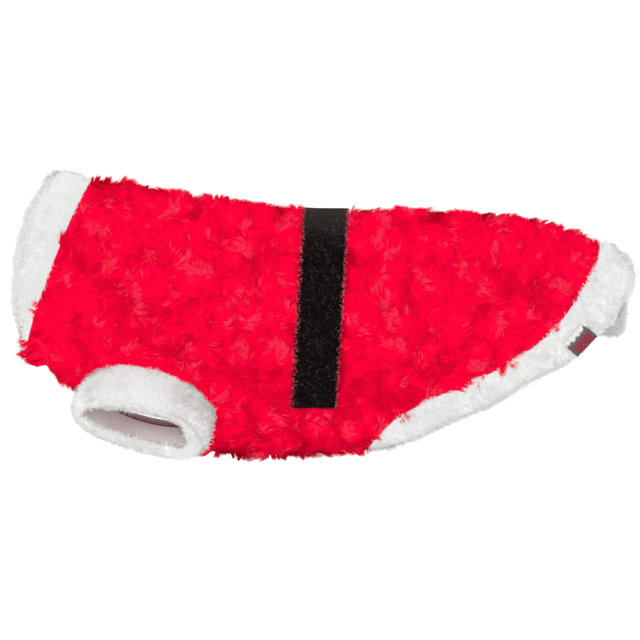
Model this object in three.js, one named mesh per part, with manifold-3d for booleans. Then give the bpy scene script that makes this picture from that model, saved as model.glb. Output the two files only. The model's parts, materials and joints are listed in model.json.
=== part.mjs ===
// A small dog's winter coat of red plush with white plush trims and a black velvet belt, laid flat on
// its side. Millimetres: +X towards the tail, +Y towards the spine, +Z up from the surface it lies on.
// The upper layer is the near side, the layer on the surface is the far side; the spine fold is at +Y
// and the belly fold at -Y. Every wall holds the cloth and the pile that stands on it.
import * as THREE from "three";
import Module from "manifold-3d";

const wasm = await Module();
wasm.setup();

// ---------------------------------------------------------------- sizes, mm
const NEAR_WALL = 9; // red plush with its pile standing free
const FAR_WALL = 6; // the same plush, pressed by the weight on it
const FOLD_WALL = 7; // plush bent round the spine and belly folds
const HOLLOW = 10; // free height between the two layers at the folds
const CROWN = 3; // how much more of it there is halfway down
const FOLD_REACH = 16; // how far in from the edge a fold's round runs
const SEAM_GAP = 0.3; // between pieces that are sewn together
const TRIM_GAP = 0.5; // the same along the slanting trim seams

const BELT_THICK = 2.6; // doubled velvet
const BELT_BED = 4; // how far the belt presses the red pile down
const BELT_FROM = 4; // stations of the belt's two edges
const BELT_TO = 5;
const BACK_CUT = 4.5; // station under the belt where the back's front and rear meet
const BACK_CUT_HALF = 0.005; // half the gap there, in stations

const TRIM_STEP = 1.5; // the white pile stands this much lower than the red
const TRIM_ROUND_FROM = 0.72; // share of the trim's width where its rolled edge starts
const COLLAR_ROLL = 2.6; // how much each face turns in at the rolled edge
const HEM_ROLL = 2.3;
const WAVES = 7; // soft waves along a trim's free edge, all round
const CORNER_AT = 0.045; // where the rear corner at the spine is fullest, share of the way down

const LABEL_THICK = 1.2; // folded woven tape
const LABEL_FROM = 0.47; // across the hem trim, share of its width
const LABEL_TO = 0.93;
const LABEL_TOP = 0.234; // along the hem trim, share of the way down
const LABEL_BOTTOM = 0.324;

// Where the coat lies on its hidden leg cuff: the layers above rise over an oval round the cuff.
const LEG_LIFT = 7.5;
const LIFT = { x: -113, y: -72, halfLong: 50, halfWide: 34, fade: 2.3 };

const CENTRE_X = 0.7; // moves the coat's middle to the origin
const CENTRE_Y = -0.48;

// Stations down the coat from the neck seam to the hem seam. Each is a line from the spine fold to
// the belly fold; bow1 to bow3 are how far it bends towards the tail at 1/4, 1/2 and 3/4 of its
// length, corner the same near the spine, and seam the share where back and belly panels meet.
const STATIONS = table(
  "at spineX spineY bellyX bellyY bow1 bow2 bow3 corner seam wave",
  [
    [0, -156.1, 94.9, -202.3, -26.9, -3.7, -4.5, -4, 0, 0.86, 0],
    [1, -127.5, 92.1, -171.7, -51.3, -2, -2, -2, 0, 0.86, 0],
    [2, -90.1, 85.3, -130.9, -77.2, 0, 0, 0, 0, 0.87, 0],
    [3, -51.3, 79.9, -76.5, -94.9, 0, 0, 0, 0, 0.83, 0],
    [4, -13.3, 75.5, -24.1, -98.3, 0, 0, 0, 0, 0.795, 0],
    [5, 18.7, 74.8, 7.8, -95.5, 0, 0, 0, 0, 0.804, 0],
    [6, 66.3, 74.5, 17.3, -94.9, 4, 3, 0, 0, 0.82, 0],
    [7, 113.9, 71.7, 22.8, -94.2, 10, 9, 0.5, 0.5, 0.832, 0],
    [8, 154.7, 66.3, 26.9, -93.5, 16.5, 14.5, 1.5, 2, 0.838, 0],
    [9, 188.7, 53.4, 30.3, -92.1, 22.8, 20, 2.5, 3.5, 0.84, 0],
  ],
);

// The collar trim, from the neck seam to its free edge, and the hem trim likewise.
const COLLAR = table(
  "at spineX spineY bellyX bellyY bow1 bow2 bow3 corner seam wave",
  [
    [0, -156.1, 94.9, -202.3, -26.9, -3.7, -4.5, -4, 0, 0.86, 0],
    [1, -185.3, 98.9, -207.7, -23.6, -11.5, -13.4, -10.9, 0, 0.86, 0.9],
  ],
);
const HEM = table(
  "at spineX spineY bellyX bellyY bow1 bow2 bow3 corner seam wave",
  [
    [0, 188.7, 53.4, 30.3, -92.1, 22.8, 20, 2.5, 3.5, 0.84, 0],
    [1, 208.4, 40.5, 40.5, -90.1, 31.7, 29, 19, 10.5, 0.84, 1.3],
  ],
);
// The hem's lower layer pokes out past the upper one by this much, near the spine corner.
const HEM_PEEK = { out: 6, at: 0.15, spread: 0.09 };

// Folds of the upper layer between two points: troughs are below 0, ridges above.
const FOLDS = table("fromX fromY toX toY width height", [
  [-138, -2, -104, -26, 10, -2.4], // behind the neck, down to the leg
  [-117, 6, -80, -20, 10, 1.8], // the ridge beside it
  [-90, -12, -56, -42, 10, -2.8], // over the leg, towards the belly
  [-62, -20, -40, -36, 9, 1.6],
  [-46, -50, -25, -57, 9, -3], // in front of the belt's lower end
  [16, -56, 21, -64, 8, -3], // behind it
  [29, -46, 53, -70, 9, -3.5], // into the corner of belly and hem
  [66, -38, 76, -33, 9, -2.6],
  [-175, 40, -150, 20, 9, -2], // across the neck
  [120, 20, 148, 6, 11, -2], // on the rump
  [60, 40, 92, 22, 12, 1.4],
]);

// Rings of a leg cuff's wall from its root inside the coat to its free rim. halfLong and halfWide
// are of the wall's middle line, tilt turns the oval, half is half the wall, tip is the rise of the
// ring per mm towards the spine.
const NEAR_CUFF = table("x y z halfLong halfWide tilt half tip", [
  [-114.5, -52, 23, 41, 16.5, -15, 3.3, 0],
  [-117.3, -58.1, 33, 42.5, 17.5, -15, 3.5, 0.05],
  [-120, -63.8, 39, 43.6, 17.2, -15, 4.1, 0.12],
  [-122.6, -69.8, 44.5, 43.3, 15.6, -14.5, 4.1, 0.2],
  [-125, -75, 48.4, 41.5, 13, -14, 3.1, 0.25],
]);
const FAR_CUFF = table("x y z halfLong halfWide tilt half tip", [
  [-116, -56, 13.5, 38, 14, -15, 3, 0],
  [-117.3, -59.5, 7.8, 38, 14.5, -15, 3.2, 0],
  [-115.4, -68.5, 4.5, 38, 15, -16, 3.8, 0],
  [-113.2, -77.2, 1.4, 36, 14, -18, 3.4, 0],
]);
const CUFF_CREST = 1.7; // how far the rim rounds up past the last ring
const CUFF_FOOT = 2.2; // half the flat the hidden cuff lies on
const HOLE_SPLIT = 21; // height between the two layers where the holes' cuts end

// Steps of the grid.
const STEPS_PER_STATION = 3;
const ARC_STEPS = 4;
const BACK_STEPS = 11;
const BELLY_STEPS = 2;
const CUFF_STEPS = 36;

// ---------------------------------------------------------------- small helpers
function table(columns, rows) {
  const names = columns.split(" ");
  return rows.map((row) => Object.fromEntries(row.map((value, i) => [names[i], value])));
}

function clamp(value, low, high) {
  return Math.min(high, Math.max(low, value));
}

function smooth(share) {
  const t = clamp(share, 0, 1);
  return t * t * (3 - 2 * t);
}

// A row between the rows of a table, on a smooth curve through them.
function rowAt(rows, at) {
  const last = rows.length - 1;
  const i = clamp(Math.floor(at), 0, last - 1);
  const t = at - i;
  const row = {};
  for (const key of Object.keys(rows[0])) {
    const a = rows[i][key];
    const b = rows[i + 1][key];
    const before = i > 0 ? (b - rows[i - 1][key]) / 2 : b - a;
    const after = i + 2 <= last ? (rows[i + 2][key] - a) / 2 : b - a;
    const t2 = t * t;
    const t3 = t2 * t;
    row[key] =
      a * (2 * t3 - 3 * t2 + 1) +
      before * (t3 - 2 * t2 + t) +
      b * (3 * t2 - 2 * t3) +
      after * (t3 - t2);
  }
  return row;
}

// ---------------------------------------------------------------- the coat's form
function widthOf(row) {
  return Math.hypot(row.bellyX - row.spineX, row.bellyY - row.spineY);
}

// A point of a station's line seen from above, `down` mm from the spine fold.
function planPoint(row, down, push = 0) {
  const width = widthOf(row);
  const v = down / width;
  const w = 4 * v;
  const dirX = (row.bellyX - row.spineX) / width;
  const dirY = (row.bellyY - row.spineY) / width;
  const bow =
    (row.bow1 * -w * (w - 2) * (w - 3) * (w - 4)) / 6 +
    (row.bow2 * w * (w - 1) * (w - 3) * (w - 4)) / 4 +
    (row.bow3 * -w * (w - 1) * (w - 2) * (w - 4)) / 6 +
    row.corner * Math.E * Math.max(v / CORNER_AT, 0) * Math.exp(-v / CORNER_AT) +
    row.wave * Math.sin(WAVES * Math.PI * v) * Math.sin(Math.PI * v) +
    push;
  return {
    x: row.spineX + dirX * down - dirY * bow,
    y: row.spineY + dirY * down + dirX * bow,
    share: clamp(v, 0, 1),
  };
}

function liftAt(x, y) {
  const tilt = (-16 * Math.PI) / 180;
  const dx = x - LIFT.x;
  const dy = y - LIFT.y;
  const along = (dx * Math.cos(tilt) + dy * Math.sin(tilt)) / LIFT.halfLong;
  const across = (dy * Math.cos(tilt) - dx * Math.sin(tilt)) / LIFT.halfWide;
  const reach = Math.hypot(along, across);
  return LEG_LIFT * (1 - smooth((reach - 1) / (LIFT.fade - 1)));
}

function foldAt(x, y) {
  let height = 0;
  for (const fold of FOLDS) {
    const dx = fold.toX - fold.fromX;
    const dy = fold.toY - fold.fromY;
    const along = clamp(
      ((x - fold.fromX) * dx + (y - fold.fromY) * dy) / (dx * dx + dy * dy),
      0,
      1,
    );
    const away = Math.hypot(x - fold.fromX - along * dx, y - fold.fromY - along * dy);
    height += fold.height * Math.exp(-((away / fold.width) ** 2));
  }
  return height;
}

// A point of the section at `row`. `place` says where round the section: up is 1 on the near
// layer and -1 on the far one, turn is the angle of a fold's round. `inset` is how far the point
// lies inside the coat's outer skin on the near layer, on the far layer and at the folds.
function sectionPoint(row, place, inset, push = 0) {
  const width = widthOf(row);
  const reach = FOLD_REACH - (FOLD_REACH - inset.fold) * Math.cos(place.turn);
  const down = {
    spine: reach,
    belly: width - reach,
    flat: place.down,
  }[place.end];
  const peek = place.up < 0 ? row.peek || 0 : 0;
  const plan = planPoint(row, down, push);
  const peekShare = Math.exp(-(((plan.share - HEM_PEEK.at) / HEM_PEEK.spread) ** 2));
  const moved = peek ? planPoint(row, down, push + peek * peekShare) : plan;
  const bottom = liftAt(moved.x, moved.y);
  const hollow = HOLLOW + CROWN * Math.sin(Math.PI * moved.share);
  const middle = bottom + FAR_WALL + hollow / 2;
  const top = bottom + FAR_WALL + hollow + NEAR_WALL + foldAt(moved.x, moved.y);
  const rise =
    place.up > 0 ? top - inset.near - middle : middle - bottom - inset.far;
  return [
    moved.x - CENTRE_X,
    moved.y - CENTRE_Y,
    middle + place.up * rise * Math.sin(place.turn),
  ];
}

// Places round a section, in order: `part` picks the back panel, the belly panel or the whole ring.
function placesOf(row, part) {
  const width = widthOf(row);
  const seam = row.seam * width;
  const flat = (up, from, to, steps) =>
    Array.from({ length: steps + 1 }, (_, i) => ({
      end: "flat",
      up,
      turn: Math.PI / 2,
      down: from + ((to - from) * i) / steps,
    }));
  const round = (end, up, from, to) =>
    Array.from({ length: ARC_STEPS + 1 }, (_, i) => ({
      end,
      up,
      turn: (Math.PI / 2) * (from + ((to - from) * i) / ARC_STEPS),
    }));
  const gap = SEAM_GAP / 2;
  if (part === "back") {
    return [
      ...flat(-1, seam - gap, FOLD_REACH, BACK_STEPS),
      ...round("spine", -1, 1, 0).slice(1),
      ...round("spine", 1, 0, 1).slice(1),
      ...flat(1, FOLD_REACH, seam - gap, BACK_STEPS).slice(1),
    ];
  }
  if (part === "belly") {
    return [
      ...flat(1, seam + gap, width - FOLD_REACH, BELLY_STEPS),
      ...round("belly", 1, 1, 0).slice(1),
      ...round("belly", -1, 0, 1).slice(1),
      ...flat(-1, width - FOLD_REACH, seam + gap, BELLY_STEPS).slice(1),
    ];
  }
  return [
    ...round("spine", 1, 0, 1),
    ...flat(1, FOLD_REACH, seam, BACK_STEPS).slice(1),
    ...flat(1, seam, width - FOLD_REACH, BELLY_STEPS).slice(1),
    ...round("belly", 1, 1, 0).slice(1),
    ...round("belly", -1, 0, 1).slice(1),
    ...flat(-1, width - FOLD_REACH, seam, BELLY_STEPS).slice(1),
    ...flat(-1, seam, FOLD_REACH, BACK_STEPS).slice(1),
    ...round("spine", -1, 1, 0).slice(1, -1),
  ];
}

// ---------------------------------------------------------------- solids
function solidFrom(points, triangles) {
  let volume = 0;
  const [a, b, c] = [new THREE.Vector3(), new THREE.Vector3(), new THREE.Vector3()];
  for (const [i, j, k] of triangles) {
    a.set(...points[i]);
    b.set(...points[j]);
    c.set(...points[k]);
    volume += a.dot(b.cross(c));
  }
  const facing = volume < 0 ? triangles.map(([i, j, k]) => [i, k, j]) : triangles;
  return new wasm.Manifold(
    new wasm.Mesh({
      numProp: 3,
      vertProperties: new Float32Array(points.flat()),
      triVerts: new Uint32Array(facing.flat()),
    }),
  );
}

// A wall between two skins of the same grid; `ring` closes it round on itself.
function wallSolid(outer, inner, ring) {
  const rows = outer.length;
  const columns = outer[0].length;
  const points = [...outer.flat(), ...inner.flat()];
  const out = (i, j) => i * columns + (j % columns);
  const into = (i, j) => rows * columns + out(i, j);
  const triangles = [];
  const quad = (a, b, c, d) => {
    triangles.push([a, b, c], [a, c, d]);
  };
  const across = ring ? columns : columns - 1;
  for (let j = 0; j < across; j++) {
    for (let i = 0; i < rows - 1; i++) {
      quad(out(i, j), out(i, j + 1), out(i + 1, j + 1), out(i + 1, j));
      quad(into(i, j), into(i + 1, j), into(i + 1, j + 1), into(i, j + 1));
    }
    const end = rows - 1;
    quad(out(0, j + 1), out(0, j), into(0, j), into(0, j + 1));
    quad(out(end, j), out(end, j + 1), into(end, j + 1), into(end, j));
  }
  if (!ring) {
    const side = columns - 1;
    for (let i = 0; i < rows - 1; i++) {
      quad(out(i, 0), out(i + 1, 0), into(i + 1, 0), into(i, 0));
      quad(out(i + 1, side), out(i, side), into(i, side), into(i + 1, side));
    }
  }
  return solidFrom(points, triangles);
}

function evenInset(value) {
  return { near: value, far: value, fold: value };
}

const WALLS = { near: NEAR_WALL, far: FAR_WALL, fold: FOLD_WALL };

// Station values of the panels' grid, with a close pair at each edge of the belt's bed.
function panelStations(from = 0, to = STATIONS.length - 1) {
  const list = [BELT_FROM - 0.03, BELT_TO + 0.03];
  for (let step = 0; step < (STATIONS.length - 1) * STEPS_PER_STATION; step++) {
    list.push(step / STEPS_PER_STATION);
  }
  return [from, ...list.filter((at) => at > from && at < to).sort((a, b) => a - b), to];
}

function bedAt(at) {
  return at >= BELT_FROM && at <= BELT_TO ? BELT_BED : 0;
}

function panel(part, from, to) {
  const outer = [];
  const inner = [];
  for (const at of panelStations(from, to)) {
    const row = rowAt(STATIONS, at);
    const places = placesOf(row, part);
    const bed = evenInset(part === "back" ? bedAt(at) : 0);
    outer.push(places.map((place) => sectionPoint(row, place, bed)));
    inner.push(places.map((place) => sectionPoint(row, place, WALLS)));
  }
  return wallSolid(outer, inner, false);
}

function belt() {
  const outer = [];
  const inner = [];
  const edge = 0.012;
  const under = BELT_BED - SEAM_GAP;
  for (let step = 0; step <= STEPS_PER_STATION; step++) {
    const share = clamp(step / STEPS_PER_STATION, edge, 1 - edge);
    const row = rowAt(STATIONS, BELT_FROM + share * (BELT_TO - BELT_FROM));
    const places = placesOf(row, "back");
    outer.push(places.map((place) => sectionPoint(row, place, evenInset(under - BELT_THICK))));
    inner.push(places.map((place) => sectionPoint(row, place, evenInset(under))));
  }
  return wallSolid(outer, inner, false);
}

// How much a trim's two faces turn in at `share` of its width.
function rollAt(share, roll) {
  const t = clamp((share - TRIM_ROUND_FROM) / (1 - TRIM_ROUND_FROM), 0, 1);
  return roll * (1 - Math.sqrt(1 - t * t * 0.96));
}

function trimRow(rows, share) {
  const row = rowAt(rows, share);
  row.peek = rows === HEM ? HEM_PEEK.out * share : 0;
  return row;
}

function trim(rows, roll, away) {
  const outer = [];
  const inner = [];
  for (const share of [0, 0.25, 0.5, 0.72, 0.88, 0.97, 1]) {
    const row = trimRow(rows, share);
    const places = placesOf(row, "ring");
    const turned = rollAt(share, roll);
    const push = away * TRIM_GAP * (1 - share);
    const skin = { near: TRIM_STEP + turned, far: turned * 0.4, fold: 1 + turned * 0.6 };
    const lining = { near: NEAR_WALL - turned, far: FAR_WALL - turned * 0.6, fold: FOLD_WALL };
    outer.push(places.map((place) => sectionPoint(row, place, skin, push)));
    inner.push(places.map((place) => sectionPoint(row, place, lining, push)));
  }
  return wallSolid(outer, inner, true);
}

function label() {
  const outer = [];
  const inner = [];
  for (let i = 0; i <= 4; i++) {
    const share = LABEL_FROM + ((LABEL_TO - LABEL_FROM) * i) / 4;
    const row = trimRow(HEM, share);
    const lift = TRIM_STEP + rollAt(share, HEM_ROLL) - SEAM_GAP;
    const width = widthOf(row);
    const places = [0, 1, 2, 3, 4].map((k) => ({
      end: "flat",
      up: 1,
      turn: Math.PI / 2,
      down: width * (LABEL_TOP + ((LABEL_BOTTOM - LABEL_TOP) * k) / 4),
    }));
    outer.push(places.map((place) => sectionPoint(row, place, evenInset(lift - LABEL_THICK))));
    inner.push(places.map((place) => sectionPoint(row, place, evenInset(lift - 0.15))));
  }
  return wallSolid(outer, inner, false);
}

// The coat's outer skin as one closed body, grown by the seam gap: cuts what is sewn onto it.
function envelope() {
  const rings = [];
  for (const at of panelStations()) {
    const row = rowAt(STATIONS, at);
    const grown = evenInset(-SEAM_GAP);
    rings.push(placesOf(row, "ring").map((place) => sectionPoint(row, place, grown)));
  }
  const columns = rings[0].length;
  const points = rings.flat();
  const triangles = [];
  for (let i = 0; i < rings.length - 1; i++) {
    for (let j = 0; j < columns; j++) {
      const k = (j + 1) % columns;
      const [a, b] = [i * columns, (i + 1) * columns];
      triangles.push([a + j, a + k, b + k], [a + j, b + k, b + j]);
    }
  }
  for (const [ring, forward] of [
    [0, false],
    [rings.length - 1, true],
  ]) {
    const first = ring * columns;
    for (let j = 1; j < columns - 1; j++) {
      const face = [first, first + j, first + j + 1];
      triangles.push(forward ? face : face.reverse());
    }
  }
  return solidFrom(points, triangles);
}

// Points of one ring of a cuff, `out` mm outside its wall's middle line.
function cuffRing(ring, out, raise = 0) {
  const tilt = (ring.tilt * Math.PI) / 180;
  return Array.from({ length: CUFF_STEPS }, (_, i) => {
    const turn = (2 * Math.PI * i) / CUFF_STEPS;
    const along = (ring.halfLong + out) * Math.cos(turn);
    const across = (ring.halfWide + out) * Math.sin(turn);
    const dx = along * Math.cos(tilt) - across * Math.sin(tilt);
    const dy = along * Math.sin(tilt) + across * Math.cos(tilt);
    return [
      ring.x + dx - CENTRE_X,
      ring.y + dy - CENTRE_Y,
      ring.z + raise + ring.tip * dy,
    ];
  });
}

function cuffSolid(rings, ends) {
  const loops = [
    ...rings.map((ring) => cuffRing(ring, ring.half)),
    ...ends,
    ...rings.toReversed().map((ring) => cuffRing(ring, -ring.half)),
  ];
  const triangles = [];
  for (let i = 0; i < loops.length; i++) {
    for (let j = 0; j < CUFF_STEPS; j++) {
      const a = i * CUFF_STEPS;
      const b = ((i + 1) % loops.length) * CUFF_STEPS;
      const k = (j + 1) % CUFF_STEPS;
      triangles.push([a + j, a + k, b + k], [a + j, b + k, b + j]);
    }
  }
  return solidFrom(loops.flat(), triangles);
}

// A straight elliptical cut through one layer, as wide as the cuff's way in.
function legHole(ring, bottom, top) {
  const way = cuffRing({ ...ring, tip: 0 }, -ring.half).map(([x, y]) => [x, y]);
  const points = [
    ...way.map(([x, y]) => [x, y, bottom]),
    ...way.map(([x, y]) => [x, y, top]),
  ];
  const triangles = [];
  for (let j = 0; j < CUFF_STEPS; j++) {
    const k = (j + 1) % CUFF_STEPS;
    triangles.push([j, k, CUFF_STEPS + k], [j, CUFF_STEPS + k, CUFF_STEPS + j]);
    if (j > 0 && j < CUFF_STEPS - 1) {
      triangles.push([0, j + 1, j], [CUFF_STEPS, CUFF_STEPS + j, CUFF_STEPS + j + 1]);
    }
  }
  return solidFrom(points, triangles);
}

// ---------------------------------------------------------------- assembly
const nearHole = legHole(NEAR_CUFF[1], HOLE_SPLIT, 70);
const farHole = legHole(FAR_CUFF[1], -5, HOLE_SPLIT);
const skin = envelope();
const nearRim = NEAR_CUFF[NEAR_CUFF.length - 1];
const farRim = FAR_CUFF[FAR_CUFF.length - 1];
const farFoot = { ...farRim, z: 0 };

const RED = { color: 0xe8052f, roughness: 0.85 };
const WHITE = { color: 0xebebe9, roughness: 0.9 };
const BLACK = { color: 0x14110e, roughness: 0.6 };
const TAPE = { color: 0x8f8580, roughness: 0.7 };

const pieces = [
  [
    "back_panel_front",
    panel("back", 0, BACK_CUT - BACK_CUT_HALF).subtract(nearHole).subtract(farHole),
    RED,
  ],
  ["back_panel_rear", panel("back", BACK_CUT + BACK_CUT_HALF), RED],
  ["belly_panel", panel("belly").subtract(nearHole).subtract(farHole), RED],
  ["belt", belt(), BLACK],
  ["collar_trim", trim(COLLAR, COLLAR_ROLL, -1), WHITE],
  ["hem_trim", trim(HEM, HEM_ROLL, 1), WHITE],
  [
    "leg_cuff_near",
    cuffSolid(NEAR_CUFF, [cuffRing(nearRim, 0, CUFF_CREST)]).subtract(skin),
    WHITE,
  ],
  [
    "leg_cuff_far",
    cuffSolid(FAR_CUFF, [cuffRing(farFoot, CUFF_FOOT), cuffRing(farFoot, -CUFF_FOOT)]).subtract(
      skin,
    ),
    WHITE,
  ],
  ["label", label(), TAPE],
];

function meshOf(name, solid, look) {
  const { numProp, vertProperties, triVerts } = solid.getMesh();
  const count = vertProperties.length / numProp;
  const positions = new Float32Array(count * 3);
  for (let i = 0; i < count; i++) {
    positions.set(vertProperties.subarray(i * numProp, i * numProp + 3), i * 3);
  }
  const geometry = new THREE.BufferGeometry();
  geometry.setAttribute("position", new THREE.BufferAttribute(positions, 3));
  geometry.setIndex(new THREE.BufferAttribute(new Uint32Array(triVerts), 1));
  geometry.computeVertexNormals();
  const mesh = new THREE.Mesh(geometry, new THREE.MeshStandardMaterial(look));
  mesh.name = name;
  return mesh;
}

const coat = new THREE.Group();
coat.name = "dog_coat";
for (const [name, solid, look] of pieces) {
  coat.add(meshOf(name, solid, look));
}

export default coat;
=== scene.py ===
"""A small dog's coat of red swirl plush with white plush trims and a black velvet belt, laid flat."""

import json
import logging
import math
from collections.abc import Callable
from dataclasses import dataclass, field
from enum import Enum
from typing import NamedTuple

import bpy
import numpy as np
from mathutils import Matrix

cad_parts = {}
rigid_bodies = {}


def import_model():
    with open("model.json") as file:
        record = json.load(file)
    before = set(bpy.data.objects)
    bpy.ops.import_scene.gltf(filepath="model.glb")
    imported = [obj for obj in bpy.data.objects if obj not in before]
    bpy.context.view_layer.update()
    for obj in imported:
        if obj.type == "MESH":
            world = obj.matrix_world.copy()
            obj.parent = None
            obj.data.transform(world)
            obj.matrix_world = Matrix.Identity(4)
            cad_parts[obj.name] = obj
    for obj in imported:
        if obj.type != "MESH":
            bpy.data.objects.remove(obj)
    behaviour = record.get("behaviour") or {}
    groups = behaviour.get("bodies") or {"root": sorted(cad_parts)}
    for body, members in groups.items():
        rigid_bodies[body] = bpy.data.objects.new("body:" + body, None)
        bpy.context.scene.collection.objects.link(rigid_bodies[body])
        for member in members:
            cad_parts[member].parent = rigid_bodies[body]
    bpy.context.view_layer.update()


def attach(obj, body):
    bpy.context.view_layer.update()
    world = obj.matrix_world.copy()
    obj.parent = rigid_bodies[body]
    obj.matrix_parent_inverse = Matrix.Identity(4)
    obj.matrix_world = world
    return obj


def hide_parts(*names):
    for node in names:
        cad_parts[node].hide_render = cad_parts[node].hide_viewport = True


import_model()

LOG = logging.getLogger("dog_coat")
MM = 0.001
Array = np.ndarray
Colour = tuple[float, float, float]
Place = tuple[float, float, float]
Socket = bpy.types.NodeSocket
Inputs = dict[str | int, float | str | Colour | Socket]


# ---------------------------------------------------------------- nodes and objects
def feed(tree: bpy.types.NodeTree, node: bpy.types.Node, inputs: Inputs) -> None:
    """Sets or links a node's inputs.

    Args:
        tree: The tree that the node is in.
        node: The node.
        inputs: A value, or the output to link, for each input; a colour is given without its alpha.
    """
    for label, value in inputs.items():
        if isinstance(value, Socket):
            tree.links.new(value, node.inputs[label])
        elif isinstance(value, tuple):
            node.inputs[label].default_value = (*value, 1.0)
        else:
            node.inputs[label].default_value = value


def add_node(
    tree: bpy.types.NodeTree, kind: str, inputs: Inputs | None = None, **settings: str
) -> bpy.types.Node:
    """Adds a node to a tree.

    Args:
        tree: The tree.
        kind: The node's type.
        inputs: What goes into it.
        **settings: Its own settings, made before the inputs are looked up.

    Returns:
        The node.
    """
    node = tree.nodes.new(kind)
    for label, value in settings.items():
        setattr(node, label, value)
    feed(tree, node, inputs or {})
    return node


def add_math(
    tree: bpy.types.NodeTree, operation: str, first: Socket | float, second: Socket | float
) -> Socket:
    """Adds a sum of two values.

    Args:
        tree: The tree.
        operation: The math node's operation.
        first: Its first value.
        second: Its second value.

    Returns:
        The result's socket.
    """
    return add_node(tree, "ShaderNodeMath", {0: first, 1: second}, operation=operation).outputs[0]


def link_object(name: str, data: bpy.types.ID) -> bpy.types.Object:
    """Makes an object of some data and puts it in the scene."""
    made = bpy.data.objects.new(name, data)
    bpy.context.scene.collection.objects.link(made)
    return made


def applied_mesh(piece: bpy.types.Object) -> bpy.types.Mesh:
    """A new mesh of a piece with its modifiers applied."""
    seen = piece.evaluated_get(bpy.context.evaluated_depsgraph_get())
    return bpy.data.meshes.new_from_object(seen)


class Shading:
    """The nodes of a material while its finish is laid out.

    Attributes:
        made: The material.
        tree: Its node tree.
        shader: Its surface shader.
    """

    def __init__(self, name: str, inputs: Inputs) -> None:
        """Makes a material with one surface shader.

        Args:
            name: The material's name.
            inputs: The shader's values.
        """
        self.made = bpy.data.materials.new(name)
        self.made.use_nodes = True
        self.tree = self.made.node_tree
        self.shader = self.tree.nodes["Principled BSDF"]
        feed(self.tree, self.shader, inputs)

    def noise(self, scale: float, detail: float) -> Socket:
        """A noise in the piece's own coordinates, by its cells per metre and its octaves."""
        place = add_node(self.tree, "ShaderNodeTexCoord")
        inputs = {"Scale": scale, "Detail": detail, "Vector": place.outputs["Object"]}
        return add_node(self.tree, "ShaderNodeTexNoise", inputs).outputs["Fac"]

    def ramp(self, value: Socket, stops: tuple[tuple[float, Colour], tuple[float, Colour]]) -> Socket:
        """A colour between two stops, each a value and its colour."""
        ramp = add_node(self.tree, "ShaderNodeValToRGB", {"Fac": value})
        for number, (place, colour) in enumerate(stops):
            ramp.color_ramp.elements[number].position = place
            ramp.color_ramp.elements[number].color = (*colour, 1.0)
        return ramp.outputs["Color"]

    def spread(self, value: Socket, low: float, high: float, top: float = 1.0) -> Socket:
        """A value spread from 0 at low to top at high."""
        inputs = {"From Min": low, "From Max": high, "To Max": top, "Value": value}
        return add_node(self.tree, "ShaderNodeMapRange", inputs).outputs["Result"]

    def blend(self, share: Socket, first: Socket | Colour, second: Socket | Colour) -> Socket:
        """A mix of two colours."""
        inputs = {"Factor": share, "A": first, "B": second}
        return add_node(self.tree, "ShaderNodeMix", inputs, data_type="RGBA").outputs["Result"]

    def raised(self, height: Socket, strength: float, distance: float) -> bpy.types.Material:
        """Raises a height pattern on the shader, as the finish's last step.

        Args:
            height: The pattern.
            strength: Share of the full relief.
            distance: Height in metres.

        Returns:
            The material.
        """
        inputs = {"Strength": strength, "Distance": distance, "Height": height}
        bump = add_node(self.tree, "ShaderNodeBump", inputs)
        feed(self.tree, self.shader, {"Normal": bump.outputs["Normal"]})
        return self.made


# ---------------------------------------------------------------- finishes
@dataclass(frozen=True)
class Fibre:
    """The finish of single pile fibres: one plain colour with a soft sheen.

    Attributes:
        name: The finish's name.
        colour: Linear base colour.
        roughness: Roughness of the fibre.
        sheen: Sheen weight.
        sheen_colour: Linear tint of the sheen.
        shine: Strength of its mirror-like reflection.
    """

    name: str
    colour: Colour
    roughness: float = 0.75
    sheen: float = 0.0
    sheen_colour: Colour = (1.0, 1.0, 1.0)
    shine: float = 0.05

    def material(self) -> bpy.types.Material:
        """Builds the finish and returns its material."""
        inputs = {
            "Base Color": self.colour,
            "Roughness": self.roughness,
            "Specular IOR Level": self.shine,
            "Sheen Weight": self.sheen,
            "Sheen Roughness": 0.45,
            "Sheen Tint": self.sheen_colour,
        }
        shading = Shading(self.name, inputs)
        return shading.raised(shading.noise(1400.0, 2.0), 0.25, 0.0003)


@dataclass(frozen=True)
class Cloth:
    """A mottled cloth: two colours mixed by a soft noise, with a fine raised grain.

    Attributes:
        name: The finish's name.
        dark: Linear colour of its hollows.
        light: Linear colour of its high spots.
        patch: Size of the mottling's cells per metre.
        grain: Size of the raised grain's cells per metre.
        rise: Height of the grain in metres.
        roughness: Roughness.
        sheen: Sheen weight.
        sheen_colour: Linear tint of the sheen.
        glow: Strength of its own light, for a surface lit from behind.
    """

    name: str
    dark: Colour
    light: Colour
    patch: float = 60.0
    grain: float = 900.0
    rise: float = 0.0004
    roughness: float = 0.85
    sheen: float = 0.05
    sheen_colour: Colour = (1.0, 1.0, 1.0)
    glow: float = 0.0

    def material(self) -> bpy.types.Material:
        """Builds the finish and returns its material."""
        inputs = {
            "Roughness": self.roughness,
            "Emission Color": self.light,
            "Emission Strength": self.glow,
            "Specular IOR Level": 0.1,
            "Sheen Weight": self.sheen,
            "Sheen Roughness": 0.4,
            "Sheen Tint": self.sheen_colour,
        }
        shading = Shading(self.name, inputs)
        mottled = shading.ramp(shading.noise(self.patch, 4.0), ((0.36, self.dark), (0.64, self.light)))
        feed(shading.tree, shading.shader, {"Base Color": mottled})
        return shading.raised(shading.noise(self.grain, 3.0), 0.6, self.rise)


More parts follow.
